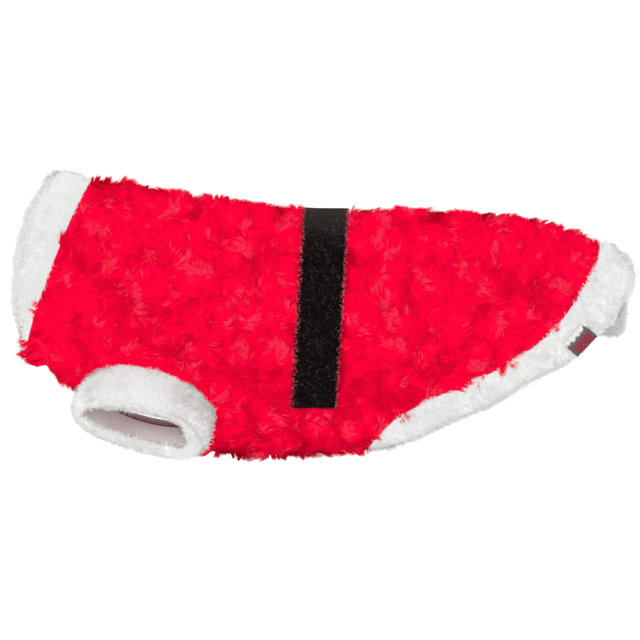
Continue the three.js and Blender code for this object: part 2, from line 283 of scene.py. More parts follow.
@dataclass(frozen=True)
class Velvet:
    """Black velvet with a faint sheen, short lint flecks, soft crushed patches and painted sheen in its
    colour towards the spine fold.

    Attributes:
        name: The finish's name.
        colour: Linear colour of the smooth velvet.
        crushed: Linear colour of the crushed patches.
        painted_sheen: Linear colour of the sheen painted where it rounds over the spine fold.
        lint: Linear colour of the flecks.
        sheen_band: Where the painted sheen starts and where it is full, in metres across the coat.
    """

    name: str = "black_velvet"
    colour: Colour = (0.0032, 0.0022, 0.0018)
    crushed: Colour = (0.008, 0.006, 0.0055)
    painted_sheen: Colour = (0.026, 0.0195, 0.019)
    lint: Colour = (0.10, 0.09, 0.085)
    sheen_band: tuple[float, float] = (0.045, 0.072)

    def material(self) -> bpy.types.Material:
        """Builds the finish and returns its material."""
        inputs = {
            "Roughness": 0.8,
            "Specular IOR Level": 0.05,
            "Sheen Weight": 0.03,
            "Sheen Roughness": 0.35,
            "Sheen Tint": (0.75, 0.7, 0.66),
        }
        shading = Shading(self.name, inputs)
        tree = shading.tree
        patches = shading.ramp(shading.noise(75.0, 5.0), ((0.45, self.colour), (0.72, self.crushed)))
        place = add_node(tree, "ShaderNodeTexCoord")
        split = add_node(tree, "ShaderNodeSeparateXYZ", {"Vector": place.outputs["Object"]})
        # Painted sheen: the colour turns brownish grey towards the spine fold, where the velvet rounds away
        # from view.
        with_sheen = shading.blend(shading.spread(split.outputs["Y"], *self.sheen_band), patches, self.painted_sheen)
        flecks = shading.spread(shading.noise(850.0, 1.0), 0.70, 0.76, 0.55)
        feed(tree, shading.shader, {"Base Color": shading.blend(flecks, with_sheen, self.lint)})
        return shading.raised(shading.noise(1300.0, 2.0), 0.5, 0.0003)


@dataclass(frozen=True)
class WovenTape:
    """Satin label tape: fine cross ribs, with a maroon panel in the middle of its own UV map.

    Attributes:
        name: The finish's name.
        ribbon: Linear colour of the tape.
        panel: Linear colour of its panel.
        panel_at: Where the panel starts and ends on each axis of the map.
    """

    name: str = "woven_tape"
    ribbon: Colour = (0.105, 0.068, 0.062)
    panel: Colour = (0.23, 0.011, 0.032)
    panel_at: tuple[tuple[str, float, float], ...] = (("X", 0.10, 0.84), ("Y", 0.46, 0.97))

    def material(self) -> bpy.types.Material:
        """Builds the finish and returns its material."""
        inputs = {"Roughness": 0.45, "Specular IOR Level": 0.4, "Sheen Weight": 0.1}
        shading = Shading(self.name, inputs)
        tree = shading.tree
        place = add_node(tree, "ShaderNodeUVMap", uv_map="weave").outputs["UV"]
        split = add_node(tree, "ShaderNodeSeparateXYZ", {"Vector": place})
        inside: Socket | float = 1.0
        for axis, low, high in self.panel_at:
            for edge, compare in ((low, "GREATER_THAN"), (high, "LESS_THAN")):
                test = add_math(tree, compare, split.outputs[axis], edge)
                inside = add_math(tree, "MULTIPLY", inside, test)
        colour = shading.blend(inside, self.ribbon, self.panel)
        feed(tree, shading.shader, {"Base Color": colour})
        ribs = add_node(tree, "ShaderNodeTexWave", {"Scale": 14.0, "Vector": place})
        return shading.raised(ribs.outputs["Fac"], 0.4, 0.0002)


# ---------------------------------------------------------------- the coat's form, in millimetres
def unit(vectors: Array) -> Array:
    """The vectors of the last axis, each made 1 long."""
    return vectors / np.maximum(np.linalg.norm(vectors, axis=-1, keepdims=True), 1e-9)


def tangents(normal: Array) -> tuple[Array, Array]:
    """The way along the coat and the way round it, in the cloth at each normal."""
    along = unit(np.cross(np.cross(normal, [1.0, 0.0, 0.0]), normal))
    return along, np.cross(normal, along)


def along_across(x: Array, y: Array, angle: float) -> tuple[Array, Array]:
    """Distances along and across a line that is turned by an angle in degrees."""
    turn = math.radians(angle)
    return x * math.cos(turn) + y * math.sin(turn), y * math.cos(turn) - x * math.sin(turn)


def smooth_step(value: Array, low: float, high: float) -> Array:
    """A soft step from 0 at low to 1 at high."""
    t = np.clip((value - low) / (high - low), 0, 1)
    return t * t * (3 - 2 * t)


def bell(value: Array, at: float, width: float) -> Array:
    """A soft bump: 1 where the value is `at`, and 0 well off it."""
    return np.exp(-(((value - at) / width) ** 2))


class Station(NamedTuple):
    """A line across the coat from the spine fold to the belly fold.

    Attributes:
        spine_x: Where it starts, along the coat.
        spine_y: The same, across it.
        belly_x: Where it ends, along the coat.
        belly_y: The same, across it.
        bow1: How far it bends towards the tail a quarter of the way down.
        bow2: The same halfway down.
        bow3: The same three quarters of the way down.
        corner: The same near the spine.
        seam: The share of its length where the two panels meet.
        wave: Height of its waves.
        peek: How far the lower layer shows past the upper one.
    """

    spine_x: float
    spine_y: float
    belly_x: float
    belly_y: float
    bow1: float
    bow2: float
    bow3: float
    corner: float
    seam: float
    wave: float = 0.0
    peek: float = 0.0


class Fold(NamedTuple):
    """A soft trough (height below 0) or ridge of the upper layer between two points."""

    from_x: float
    from_y: float
    to_x: float
    to_y: float
    width: float
    height: float


class CuffRing(NamedTuple):
    """One oval of a leg cuff's wall, from inside the coat to the free rim.

    Attributes:
        x: Its middle along the coat.
        y: Its middle across the coat.
        z: Its height.
        half_long: Half its length, at the middle of the wall.
        half_wide: Half its width there.
        tilt: Its angle in degrees.
        half: Half the wall's thickness.
        tip: How far it rises for each millimetre across the coat.
    """

    x: float
    y: float
    z: float
    half_long: float
    half_wide: float
    tilt: float
    half: float
    tip: float


SEAM, PEEK = Station._fields.index("seam"), Station._fields.index("peek")
STATIONS = (
    Station(-156.1, 94.9, -202.3, -26.9, -3.7, -4.5, -4, 0, 0.86),
    Station(-127.5, 92.1, -171.7, -51.3, -2, -2, -2, 0, 0.86),
    Station(-90.1, 85.3, -130.9, -77.2, 0, 0, 0, 0, 0.87),
    Station(-51.3, 79.9, -76.5, -94.9, 0, 0, 0, 0, 0.83),
    Station(-13.3, 75.5, -24.1, -98.3, 0, 0, 0, 0, 0.795),
    Station(18.7, 74.8, 7.8, -95.5, 0, 0, 0, 0, 0.804),
    Station(66.3, 74.5, 17.3, -94.9, 4, 3, 0, 0, 0.82),
    Station(113.9, 71.7, 22.8, -94.2, 10, 9, 0.5, 0.5, 0.832),
    Station(154.7, 66.3, 26.9, -93.5, 16.5, 14.5, 1.5, 2, 0.838),
    Station(188.7, 53.4, 30.3, -92.1, 22.8, 20, 2.5, 3.5, 0.84),
)
LAST = len(STATIONS) - 1
BELT_FROM, BELT_TO = 4, 5
COLLAR = (
    STATIONS[0],
    Station(-185.3, 98.9, -207.7, -23.6, -11.5, -13.4, -10.9, 0, 0.86, 0.9),
)
HEM = (
    STATIONS[LAST],
    Station(208.4, 40.5, 40.5, -90.1, 31.7, 29, 19, 10.5, 0.84, 1.3, 6.0),
)
FOLDS = (
    Fold(-138, -2, -104, -26, 10, -2.4),
    Fold(-117, 6, -80, -20, 10, 1.8),
    Fold(-90, -12, -56, -42, 10, -2.8),
    Fold(-62, -20, -40, -36, 9, 1.6),
    Fold(-46, -50, -25, -57, 9, -3),
    Fold(16, -56, 21, -64, 8, -3),
    Fold(29, -46, 53, -70, 9, -3.5),
    Fold(66, -38, 76, -33, 9, -2.6),
    Fold(-175, 40, -150, 20, 9, -2),
    Fold(120, 20, 148, 6, 11, -2),
    Fold(60, 40, 92, 22, 12, 1.4),
)
NEAR_CUFF = (
    CuffRing(-114.5, -52, 23, 41, 16.5, -15, 3.3, 0),
    CuffRing(-117.3, -58.1, 33, 42.5, 17.5, -15, 3.5, 0.05),
    CuffRing(-120, -63.8, 39, 43.6, 17.2, -15, 4.1, 0.12),
    CuffRing(-122.6, -69.8, 44.5, 43.3, 15.6, -14.5, 4.1, 0.2),
    CuffRing(-125, -75, 48.4, 41.5, 13, -14, 3.1, 0.25),
)
FAR_CUFF = (
    CuffRing(-116, -56, 13.5, 38, 14, -15, 3, 0),
    CuffRing(-117.3, -59.5, 7.8, 38, 14.5, -15, 3.2, 0),
    CuffRing(-115.4, -68.5, 4.5, 38, 15, -16, 3.8, 0),
    CuffRing(-113.2, -77.2, 1.4, 36, 14, -18, 3.4, 0),
)


class Part(Enum):
    """Which stretch of a section a piece covers."""

    BACK = "back"
    BELLY = "belly"
    RING = "ring"


class Kind(Enum):
    """What a place round a section lies on."""

    SPINE_FOLD = 0
    BELLY_FOLD = 1
    BACK_FLAT = 2
    BELLY_FLAT = 3


@dataclass(frozen=True)
class Round:
    """Places round a section, in order.

    Attributes:
        kind: Kind values.
        turn: Angle of a fold's round, a quarter turn on the flats.
        up: 1 on the upper layer and -1 on the lower.
        share: Share of the way along a flat.
    """

    kind: Array
    turn: Array
    up: Array
    share: Array

    @classmethod
    def of(cls, part: Part, back: int, belly: int, arc: int, far: float = 1.0) -> "Round":
        """Lays out the places of one stretch.

        Args:
            part: The stretch.
            back: Steps on the back's upper flat.
            belly: Steps on the belly's upper flat.
            arc: Steps on half of a fold.
            far: Share of those steps on the lower flats.

        Returns:
            The places.
        """
        quarter = math.pi / 2
        far_back, far_belly = max(2, round(back * far)), max(1, round(belly * far))

        def flat(kind: Kind, up: int, start: float, end: float, steps: int) -> list[tuple]:
            """Places along a flat."""
            return [(kind.value, quarter, up, s) for s in np.linspace(start, end, steps + 1)]

        def bend(kind: Kind, up: int, start: float, end: float) -> list[tuple]:
            """Places round half a fold."""
            return [(kind.value, quarter * s, up, 0.0) for s in np.linspace(start, end, arc + 1)]

        spine, fold = Kind.SPINE_FOLD, Kind.BELLY_FOLD
        if part is Part.BACK:
            places = flat(Kind.BACK_FLAT, -1, 1, 0, far_back)
            places += bend(spine, -1, 1, 0)[1:] + bend(spine, 1, 0, 1)[1:]
            places += flat(Kind.BACK_FLAT, 1, 0, 1, back)[1:]
        elif part is Part.BELLY:
            places = flat(Kind.BELLY_FLAT, 1, 0, 1, belly)
            places += bend(fold, 1, 1, 0)[1:] + bend(fold, -1, 0, 1)[1:]
            places += flat(Kind.BELLY_FLAT, -1, 1, 0, far_belly)[1:]
        else:
            places = bend(spine, 1, 0, 1) + flat(Kind.BACK_FLAT, 1, 0, 1, back)[1:]
            places += flat(Kind.BELLY_FLAT, 1, 0, 1, belly)[1:] + bend(fold, 1, 1, 0)[1:]
            places += bend(fold, -1, 0, 1)[1:] + flat(Kind.BELLY_FLAT, -1, 1, 0, far_belly)[1:]
            places += flat(Kind.BACK_FLAT, -1, 1, 0, far_back)[1:] + bend(spine, -1, 1, 0)[1:-1]
        columns = [np.array(column, dtype=float) for column in zip(*places)]
        return cls(*columns)


@dataclass
class Skin:
    """An outer and an inner face of one wall on the same grid, in millimetres.

    Attributes:
        outer: Points of the outer face, rows by columns by 3.
        inner: Points of the inner face.
        ring: True if the columns close on themselves.
        along: Pattern coordinate along the coat of each outer point.
        around: Pattern coordinate round the coat of each outer point.
        edge: How near each outer point is to a seam or a free rim, from 0 to 1.
        plain: True for the outer face's cells that take the inner face's finish.
    """

    outer: Array
    inner: Array
    ring: bool
    along: Array = field(default_factory=lambda: np.zeros(0))
    around: Array = field(default_factory=lambda: np.zeros(0))
    edge: Array = field(default_factory=lambda: np.zeros(0))
    plain: Array = field(default_factory=lambda: np.zeros(0))

    def normals(self) -> Array:
        """Outward normals of the outer face's points."""
        points = self.outer
        if self.ring:
            padded = np.concatenate([points[:, -1:], points, points[:, :1]], 1)
            across = padded[:, 2:] - padded[:, :-2]
        else:
            across = np.gradient(points, axis=1)
        down = np.gradient(points, axis=0)
        normal = unit(np.cross(across, down))
        outward = ((points - self.inner) * normal).sum()
        return normal if outward > 0 else -normal

    def map_pattern(self) -> None:
        """Works out the pattern coordinates, which run on unbroken round both folds."""
        points, normal = self.outer, self.normals()
        way = tangents(normal)[1]
        step = (points[:, 1:] - points[:, :-1]) * (way[:, 1:] + way[:, :-1]) / 2
        run = np.concatenate([np.zeros((len(points), 1)), np.cumsum(step.sum(2), 1)], 1)
        anchor = np.argmax(normal[len(points) // 2, :, 2])
        self.along = points[:, :, 0]
        self.around = run - run[:, anchor : anchor + 1] + points[:, anchor : anchor + 1, 1]


@dataclass
class CoatForm:
    """The form that every piece of the coat is laid out on, in millimetres.

    Attributes:
        near_wall: Thickness of the upper layer, pile included.
        far_wall: Thickness of the lower layer.
        fold_wall: Thickness round the folds.
        hollow: Height of the room between the layers at the folds.
        crown: How much higher that room is halfway across.
        fold_reach: How far in from a fold its round reaches.
        seam_gap: Gap between two pieces at a seam.
        waves: Half waves of a trim's free edge from fold to fold.
        corner_at: Where the bend near the spine is strongest, as a share of the width.
        lift_height: How far the hidden leg cuff lifts both layers.
        lift_middle: The middle of the lifted oval.
        lift_half: Half its length and half its width.
        lift_tilt: Its angle in degrees.
        lift_fade: Where the lift has faded out, in sizes of the oval.
        peek_at: Where the hem's lower layer shows past the upper one, as a share of the width.
        peek_spread: How wide that place is.
        centre: The coat's middle as the stations give it.
    """

    near_wall: float = 9.0
    far_wall: float = 6.0
    fold_wall: float = 7.0
    hollow: float = 10.0
    crown: float = 3.0
    fold_reach: float = 16.0
    seam_gap: float = 0.3
    waves: float = 7.0
    corner_at: float = 0.045
    lift_height: float = 7.5
    lift_middle: tuple[float, float] = (-113.0, -72.0)
    lift_half: tuple[float, float] = (50.0, 34.0)
    lift_tilt: float = -16.0
    lift_fade: float = 2.3
    peek_at: float = 0.15
    peek_spread: float = 0.09
    centre: tuple[float, float] = (0.7, -0.48)

    @staticmethod
    def rows(table: tuple[Station, ...], at: Array) -> Array:
        """Rows between a table's rows, on a smooth curve through them.

        Args:
            table: The stations.
            at: Station values, 0 for the first row.

        Returns:
            One row for each value.
        """
        rows = np.array(table, dtype=float)
        last = len(rows) - 1
        i = np.clip(np.floor(at).astype(int), 0, last - 1)
        t = (at - i)[:, None]
        a, b = rows[i], rows[i + 1]
        before = np.where((i > 0)[:, None], (b - rows[np.maximum(i - 1, 0)]) / 2, b - a)
        after = np.where((i + 2 <= last)[:, None], (rows[np.minimum(i + 2, last)] - a) / 2, b - a)
        t2, t3 = t**2, t**3
        return (
            a * (2 * t3 - 3 * t2 + 1)
            + before * (t3 - 2 * t2 + t)
            + b * (3 * t2 - 2 * t3)
            + after * (t3 - t2)
        )

    @staticmethod
    def widths(rows: Array) -> Array:
        """Length of each station row from the spine fold to the belly fold."""
        return np.hypot(rows[:, 2] - rows[:, 0], rows[:, 3] - rows[:, 1])

    def plan(self, rows: Array, down: Array, push: Array | float = 0.0) -> Array:
        """Points seen from above.

        Args:
            rows: Station rows.
            down: Distance from the spine fold of each point, rows by columns.
            push: Extra distance towards the tail.

        Returns:
            Points, rows by columns by 2.
        """
        row = rows[:, None, :]
        spine, belly = row[:, :, 0:2], row[:, :, 2:4]
        bow1, bow2, bow3, corner, _, wave = (row[:, :, column] for column in range(4, 10))
        width = np.linalg.norm(belly - spine, axis=2, keepdims=True)
        way = (belly - spine) / width
        v = down / width[:, :, 0]
        w = 4 * v
        over = np.maximum(v / self.corner_at, 0)
        bow = (
            -bow1 * w * (w - 2) * (w - 3) * (w - 4) / 6
            + bow2 * w * (w - 1) * (w - 3) * (w - 4) / 4
            - bow3 * w * (w - 1) * (w - 2) * (w - 4) / 6
            + corner * math.e * over * np.exp(-over)
            + wave * np.sin(self.waves * math.pi * v) * np.sin(math.pi * v)
            + push
        )
        side = np.stack([-way[:, :, 1], way[:, :, 0]], 2)
        return spine + way * down[:, :, None] + side * bow[:, :, None]

    def lift_at(self, x: Array, y: Array) -> Array:
        """Height of the lower layer over the hidden leg cuff."""
        dx, dy = x - self.lift_middle[0], y - self.lift_middle[1]
        along, across = along_across(dx, dy, self.lift_tilt)
        away = np.hypot(along / self.lift_half[0], across / self.lift_half[1])
        return self.lift_height * (1 - smooth_step(away, 1.0, self.lift_fade))

    @staticmethod
    def fold_at(x: Array, y: Array) -> Array:
        """Height that the upper layer's folds add."""
        height = np.zeros_like(x)
        for fold in FOLDS:
            dx, dy = fold.to_x - fold.from_x, fold.to_y - fold.from_y
            along = ((x - fold.from_x) * dx + (y - fold.from_y) * dy) / (dx * dx + dy * dy)
            along = np.clip(along, 0, 1)
            away = np.hypot(x - fold.from_x - along * dx, y - fold.from_y - along * dy)
            height += fold.height * bell(away, 0, fold.width)
        return height

    def points(
        self,
        rows: Array,
        where: Round,
        near: Array | float,
        far: Array | float,
        fold: Array | float,
        push: Array | float = 0.0,
    ) -> Array:
        """Points of the sections at some rows.

        Args:
            rows: Station rows.
            where: Places round the section.
            near: How far inside the outer skin the upper layer's points lie.
            far: The same on the lower layer.
            fold: The same at the folds.
            push: Extra distance towards the tail.

        Returns:
            Points, rows by columns by 3.
        """
        width, gap = self.widths(rows)[:, None], self.seam_gap / 2
        seam = rows[:, SEAM, None] * width
        turn, up = where.turn[None], where.up[None]
        reach = self.fold_reach - (self.fold_reach - fold) * np.cos(turn)
        kind = np.broadcast_to(where.kind[None], (len(rows), len(where.kind)))
        back = self.fold_reach + (seam - gap - self.fold_reach) * where.share[None]
        belly = seam + gap + (width - self.fold_reach - seam - gap) * where.share[None]
        down = np.select(
            [kind == Kind.SPINE_FOLD.value, kind == Kind.BELLY_FOLD.value, kind == Kind.BACK_FLAT.value],
            [reach + 0 * width, width - reach, back],
            belly,
        )
        share = np.clip(down / width, 0, 1)
        peek = bell(share, self.peek_at, self.peek_spread)
        plan = self.plan(rows, down, push + rows[:, PEEK, None] * peek * (up < 0))
        x, y = plan[:, :, 0], plan[:, :, 1]
        bottom = self.lift_at(x, y)
        hollow = self.hollow + self.crown * np.sin(math.pi * share)
        middle = bottom + self.far_wall + hollow / 2
        top = bottom + self.far_wall + hollow + self.near_wall + self.fold_at(x, y)
        rise = np.where(up > 0, top - near - middle, middle - bottom - far)
        z = middle + up * rise * np.sin(turn)
        return np.stack([x - self.centre[0], y - self.centre[1], z], 2)


FORM = CoatForm()


def soft_noise(x: Array, y: Array, size: float, seed: int) -> Array:
    """A smooth random height from 0 to 1.

    Args:
        x: First coordinate.
        y: Second coordinate.
        size: Size of its cells.
        seed: Its seed.

    Returns:
        The heights.
    """
    table = np.random.default_rng(seed).random((61, 61))
    u, v = x / size, y / size
    i, j = np.floor(u).astype(int), np.floor(v).astype(int)
    s, t = u - i, v - j
    s, t = s * s * (3 - 2 * s), t * t * (3 - 2 * t)
    a, b = table[i % 61, j % 61], table[(i + 1) % 61, j % 61]
    c, d = table[i % 61, (j + 1) % 61], table[(i + 1) % 61, (j + 1) % 61]
    return (a * (1 - s) + b * s) * (1 - t) + (c * (1 - s) + d * s) * t


def wall_object(name: str, skin: Skin, finishes: list[bpy.types.Material]) -> bpy.types.Object:
    """Makes a closed wall from a skin.

    Args:
        name: The object's name.
        skin: Its two faces, in millimetres.
        finishes: The outer face's material and the inner face's.

    Returns:
        The object.
    """
    rows, columns = skin.outer.shape[:2]
    points = np.concatenate([skin.outer.reshape(-1, 3), skin.inner.reshape(-1, 3)])
    out = np.arange(rows * columns).reshape(rows, columns)
    if skin.ring:
        out = np.concatenate([out, out[:, :1]], 1)
    into = out + rows * columns

    def quads(grid: Array) -> Array:
        """The grid's cells as quads."""
        cells = [grid[:-1, :-1], grid[:-1, 1:], grid[1:, 1:], grid[1:, :-1]]
        return np.stack(cells, 2).reshape(-1, 4)

    def strip(first: Array, second: Array) -> Array:
        """Quads between two lines of points."""
        return np.stack([first[:-1], first[1:], second[1:], second[:-1]], 1)

    faces = [quads(out), quads(into)[:, ::-1], strip(into[0], out[0]), strip(out[-1], into[-1])]
    if not skin.ring:
        faces += [strip(out[:, 0], into[:, 0]), strip(into[:, -1], out[:, -1])]
    used = [np.full(len(group), int(k == 1)) for k, group in enumerate(faces)]
    if skin.plain.size:
        used[0] = skin.plain.ravel().astype(int)
    quad = np.concatenate(faces)
    a, b, c = (points[quad[:, k]] for k in range(3))
    d = points[quad[:, 3]]
    volume = (a * np.cross(b, c)).sum() + (a * np.cross(c, d)).sum()
    if volume < 0:
        quad = quad[:, ::-1]
    return mesh_object(name, points * MM, quad, finishes, np.concatenate(used))


def mesh_object(
    name: str,
    points: Array,
    faces: Array,
    finishes: list[bpy.types.Material],
    used: Array | None = None,
    smooth: bool = True,
) -> bpy.types.Object:
    """Makes an object from points and faces.

    Args:
        name: The object's name.
        points: Its points, in metres.
        faces: Its faces, all with the same number of corners.
        finishes: Its materials.
        used: Each face's material number.
        smooth: True for smooth shading.

    Returns:
        The object, in the scene.
    """
    mesh = bpy.data.meshes.new(name)
    mesh.from_pydata(points.tolist(), [], faces.tolist())
    for finish in finishes:
        mesh.materials.append(finish)
    if used is not None:
        mesh.polygons.foreach_set("material_index", used.astype(np.int32))
    mesh.polygons.foreach_set("use_smooth", np.full(len(faces), smooth))
    mesh.update()
    return link_object(name, mesh)


# ---------------------------------------------------------------- pile
@dataclass(frozen=True)
class SwirlComb:
    """How the red pile is combed: in rosettes on an uneven lattice.

    Attributes:
        spacing: Distance between rosettes, mm.
        row_pitch: Distance between their rows, as a share of that.
        uneven: How far their middles stray, mm.
        backward: Share of the rosettes that turn the other way.
        warp: How far the whole pattern is pulled about, mm.
        warp_size: Size of those pulls, mm.
        mound: How far in from its border a rosette is as tall as it gets, mm.
        dimple: Radius of the dimple in its middle, mm.
        lick: Distance from its middle of the crescent that is combed up, and its width, mm.
        shade: The same of the shaded hollow.
        seed: Its seed.
        block: How many points are read at a time.
    """

    spacing: float = 27.0
    row_pitch: float = 0.87
    uneven: float = 9.0
    backward: float = 0.35
    warp: float = 5.0
    warp_size: float = 17.0
    mound: float = 11.0
    dimple: float = 3.6
    lick: tuple[float, float] = (6.5, 3.0)
    shade: tuple[float, float] = (9.0, 4.5)
    seed: int = 5
    block: int = 20000

    def middles(self) -> tuple[Array, Array, Array, Array, Array]:
        """Places, turns, strengths, angles and facings of the rosettes."""
        rng = np.random.default_rng(self.seed)
        places = []
        for row in range(-12, 13):
            for column in range(-10, 11):
                x = (column + 0.5 * (row % 2)) * self.spacing
                places.append((x, row * self.spacing * self.row_pitch))
        spots = np.array(places) + rng.uniform(-self.uneven, self.uneven, (len(places), 2))
        turns = rng.choice([-1.0, 1.0], len(spots), p=[self.backward, 1 - self.backward])
        strengths, angles = rng.uniform(0.35, 1.0, len(spots)), rng.uniform(62, 105, len(spots))
        return spots, turns, strengths, angles, rng.uniform(0, 2 * math.pi, len(spots))

    def at(self, along: Array, around: Array) -> tuple[Array, Array, Array, Array]:
        """Reads the comb.

        Args:
            along: Pattern coordinate along the coat.
            around: Pattern coordinate round it.

        Returns:
            The pile's heading, its height, and how far it is in a lick or in a shaded hollow,
            each from 0 to 1.
        """
        spots, turns, strengths, angles, facing = self.middles()
        x = (along + self.warp * (soft_noise(along, around, self.warp_size, 3) - 0.5)).ravel()
        y = (around + self.warp * (soft_noise(along, around, self.warp_size, 4) - 0.5)).ravel()
        heading, height, lick, shade = (np.empty(len(x)) for _ in range(4))
        for start in range(0, len(x), self.block):
            cut = slice(start, start + self.block)
            dx, dy = x[cut, None] - spots[None, :, 0], y[cut, None] - spots[None, :, 1]
            away = np.hypot(dx, dy)
            two = np.argpartition(away, 1, axis=1)[:, :2]
            pair = np.take_along_axis(away, two, 1)
            near = np.where(pair[:, 0] <= pair[:, 1], two[:, 0], two[:, 1])
            first, second = pair.min(1), pair.max(1)
            pick = np.arange(len(near))
            base = np.arctan2(dy[pick, near], dx[pick, near])
            swirl = base + turns[near] * np.radians(angles[near])
            flow = 3.4 * soft_noise(x[cut], y[cut], 45, 6) - 1.3
            mix = (0.55 + 0.6 * strengths[near]) * smooth_step(first, 0.5, 7.0)
            heading[cut] = np.arctan2(
                mix * np.sin(swirl) + 0.8 * np.sin(flow), mix * np.cos(swirl) + 0.8 * np.cos(flow)
            )
            mound = smooth_step(second - first, 0.0, self.mound) * strengths[near]
            height[cut] = mound * (1 - 0.45 * bell(first, 0, self.dimple))
            side = np.cos(base - facing[near])
            crescent = bell(first, *self.lick) * smooth_step(side, 0.3, 0.9)
            lick[cut] = crescent * smooth_step(strengths[near], 0.45, 0.85)
            shade[cut] = bell(first, *self.shade) * smooth_step(-side, 0.2, 0.95)
        return tuple(part.reshape(along.shape) for part in (heading, height, lick, shade))


SWIRLS = SwirlComb()


def open_tree(
    name: str, start: str, inputs: dict[str, str], end: str
) -> tuple[bpy.types.NodeTree, dict[str, str]]:
    """Makes an empty geometry tree with named inputs.

    Args:
        name: The tree's name.
        start: Name of the geometry that goes in.
        inputs: Socket type of each other input, by its name.
        end: Name of the geometry that comes out.

    Returns:
        The tree, and the other inputs' identifiers by name.
    """
    made = bpy.data.node_groups.new(name, "GeometryNodeTree")
    face = made.interface
    face.new_socket(start, in_out="INPUT", socket_type="NodeSocketGeometry")
    ids = {
        label: face.new_socket(label, in_out="INPUT", socket_type=kind).identifier
        for label, kind in inputs.items()
    }
    face.new_socket(end, in_out="OUTPUT", socket_type="NodeSocketGeometry")
    return made, ids


def read_attribute(tree: bpy.types.NodeTree, name: str, kind: str = "FLOAT_VECTOR") -> Socket:
    """Reads a named attribute of a tree's guide points."""
    inputs = {"Name": name}
    return add_node(tree, "GeometryNodeInputNamedAttribute", inputs, data_type=kind).outputs["Attribute"]


def stand_on_points(tree: bpy.types.NodeTree, points: Socket, shape: Socket, size: Socket) -> Socket:
    """Stands a real copy of a shape on each guide point, turned by its comb and stand.

    Args:
        tree: The tree.
        points: The guide points.
        shape: The shape.
        size: Each copy's size on its own axes.

    Returns:
        The copies.
    """
    turns = {"Primary Axis": read_attribute(tree, "comb"), "Secondary Axis": read_attribute(tree, "stand")}
    axes = add_node(tree, "FunctionNodeAxesToRotation", turns, primary_axis="X", secondary_axis="Z")
    inputs = {"Points": points, "Instance": shape, "Rotation": axes.outputs[0], "Scale": size}
    put = add_node(tree, "GeometryNodeInstanceOnPoints", inputs)
    return add_node(tree, "GeometryNodeRealizeInstances", {0: put.outputs[0]}).outputs[0]


def grow_piece(
    name: str,
    tree: bpy.types.NodeTree,
    values: dict[str, float | bpy.types.Material],
    points: Array,
    data: dict[str, Array],
) -> bpy.types.Object:
    """Runs a tree on guide points and makes what grows there one plain mesh.

    Args:
        name: The piece's name.
        tree: The tree.
        values: Its inputs, by identifier.
        points: The guide points, mm.
        data: The attributes that it reads, by name: one number for each point, or three.

    Returns:
        The piece.
    """
    mesh = bpy.data.meshes.new(f"{name}_guides")
    mesh.from_pydata((points * MM).tolist(), [], [])
    for label, numbers in data.items():
        kind, key = ("FLOAT", "value") if numbers.ndim == 1 else ("FLOAT_VECTOR", "vector")
        attribute = mesh.attributes.new(label, kind, "POINT")
        attribute.data.foreach_set(key, numbers.astype(np.float32).ravel())
    holder = link_object(f"{name}_guides", mesh)
    modifier = holder.modifiers.new("grow", "NODES")
    modifier.node_group = tree
    for identifier, value in values.items():
        modifier[identifier] = value
    plain = applied_mesh(holder)
    plain.name = name
    for label in data:
        if label in plain.attributes:
            plain.attributes.remove(plain.attributes[label])
    bpy.data.objects.remove(holder)
    bpy.data.meshes.remove(mesh)
    return link_object(name, plain)


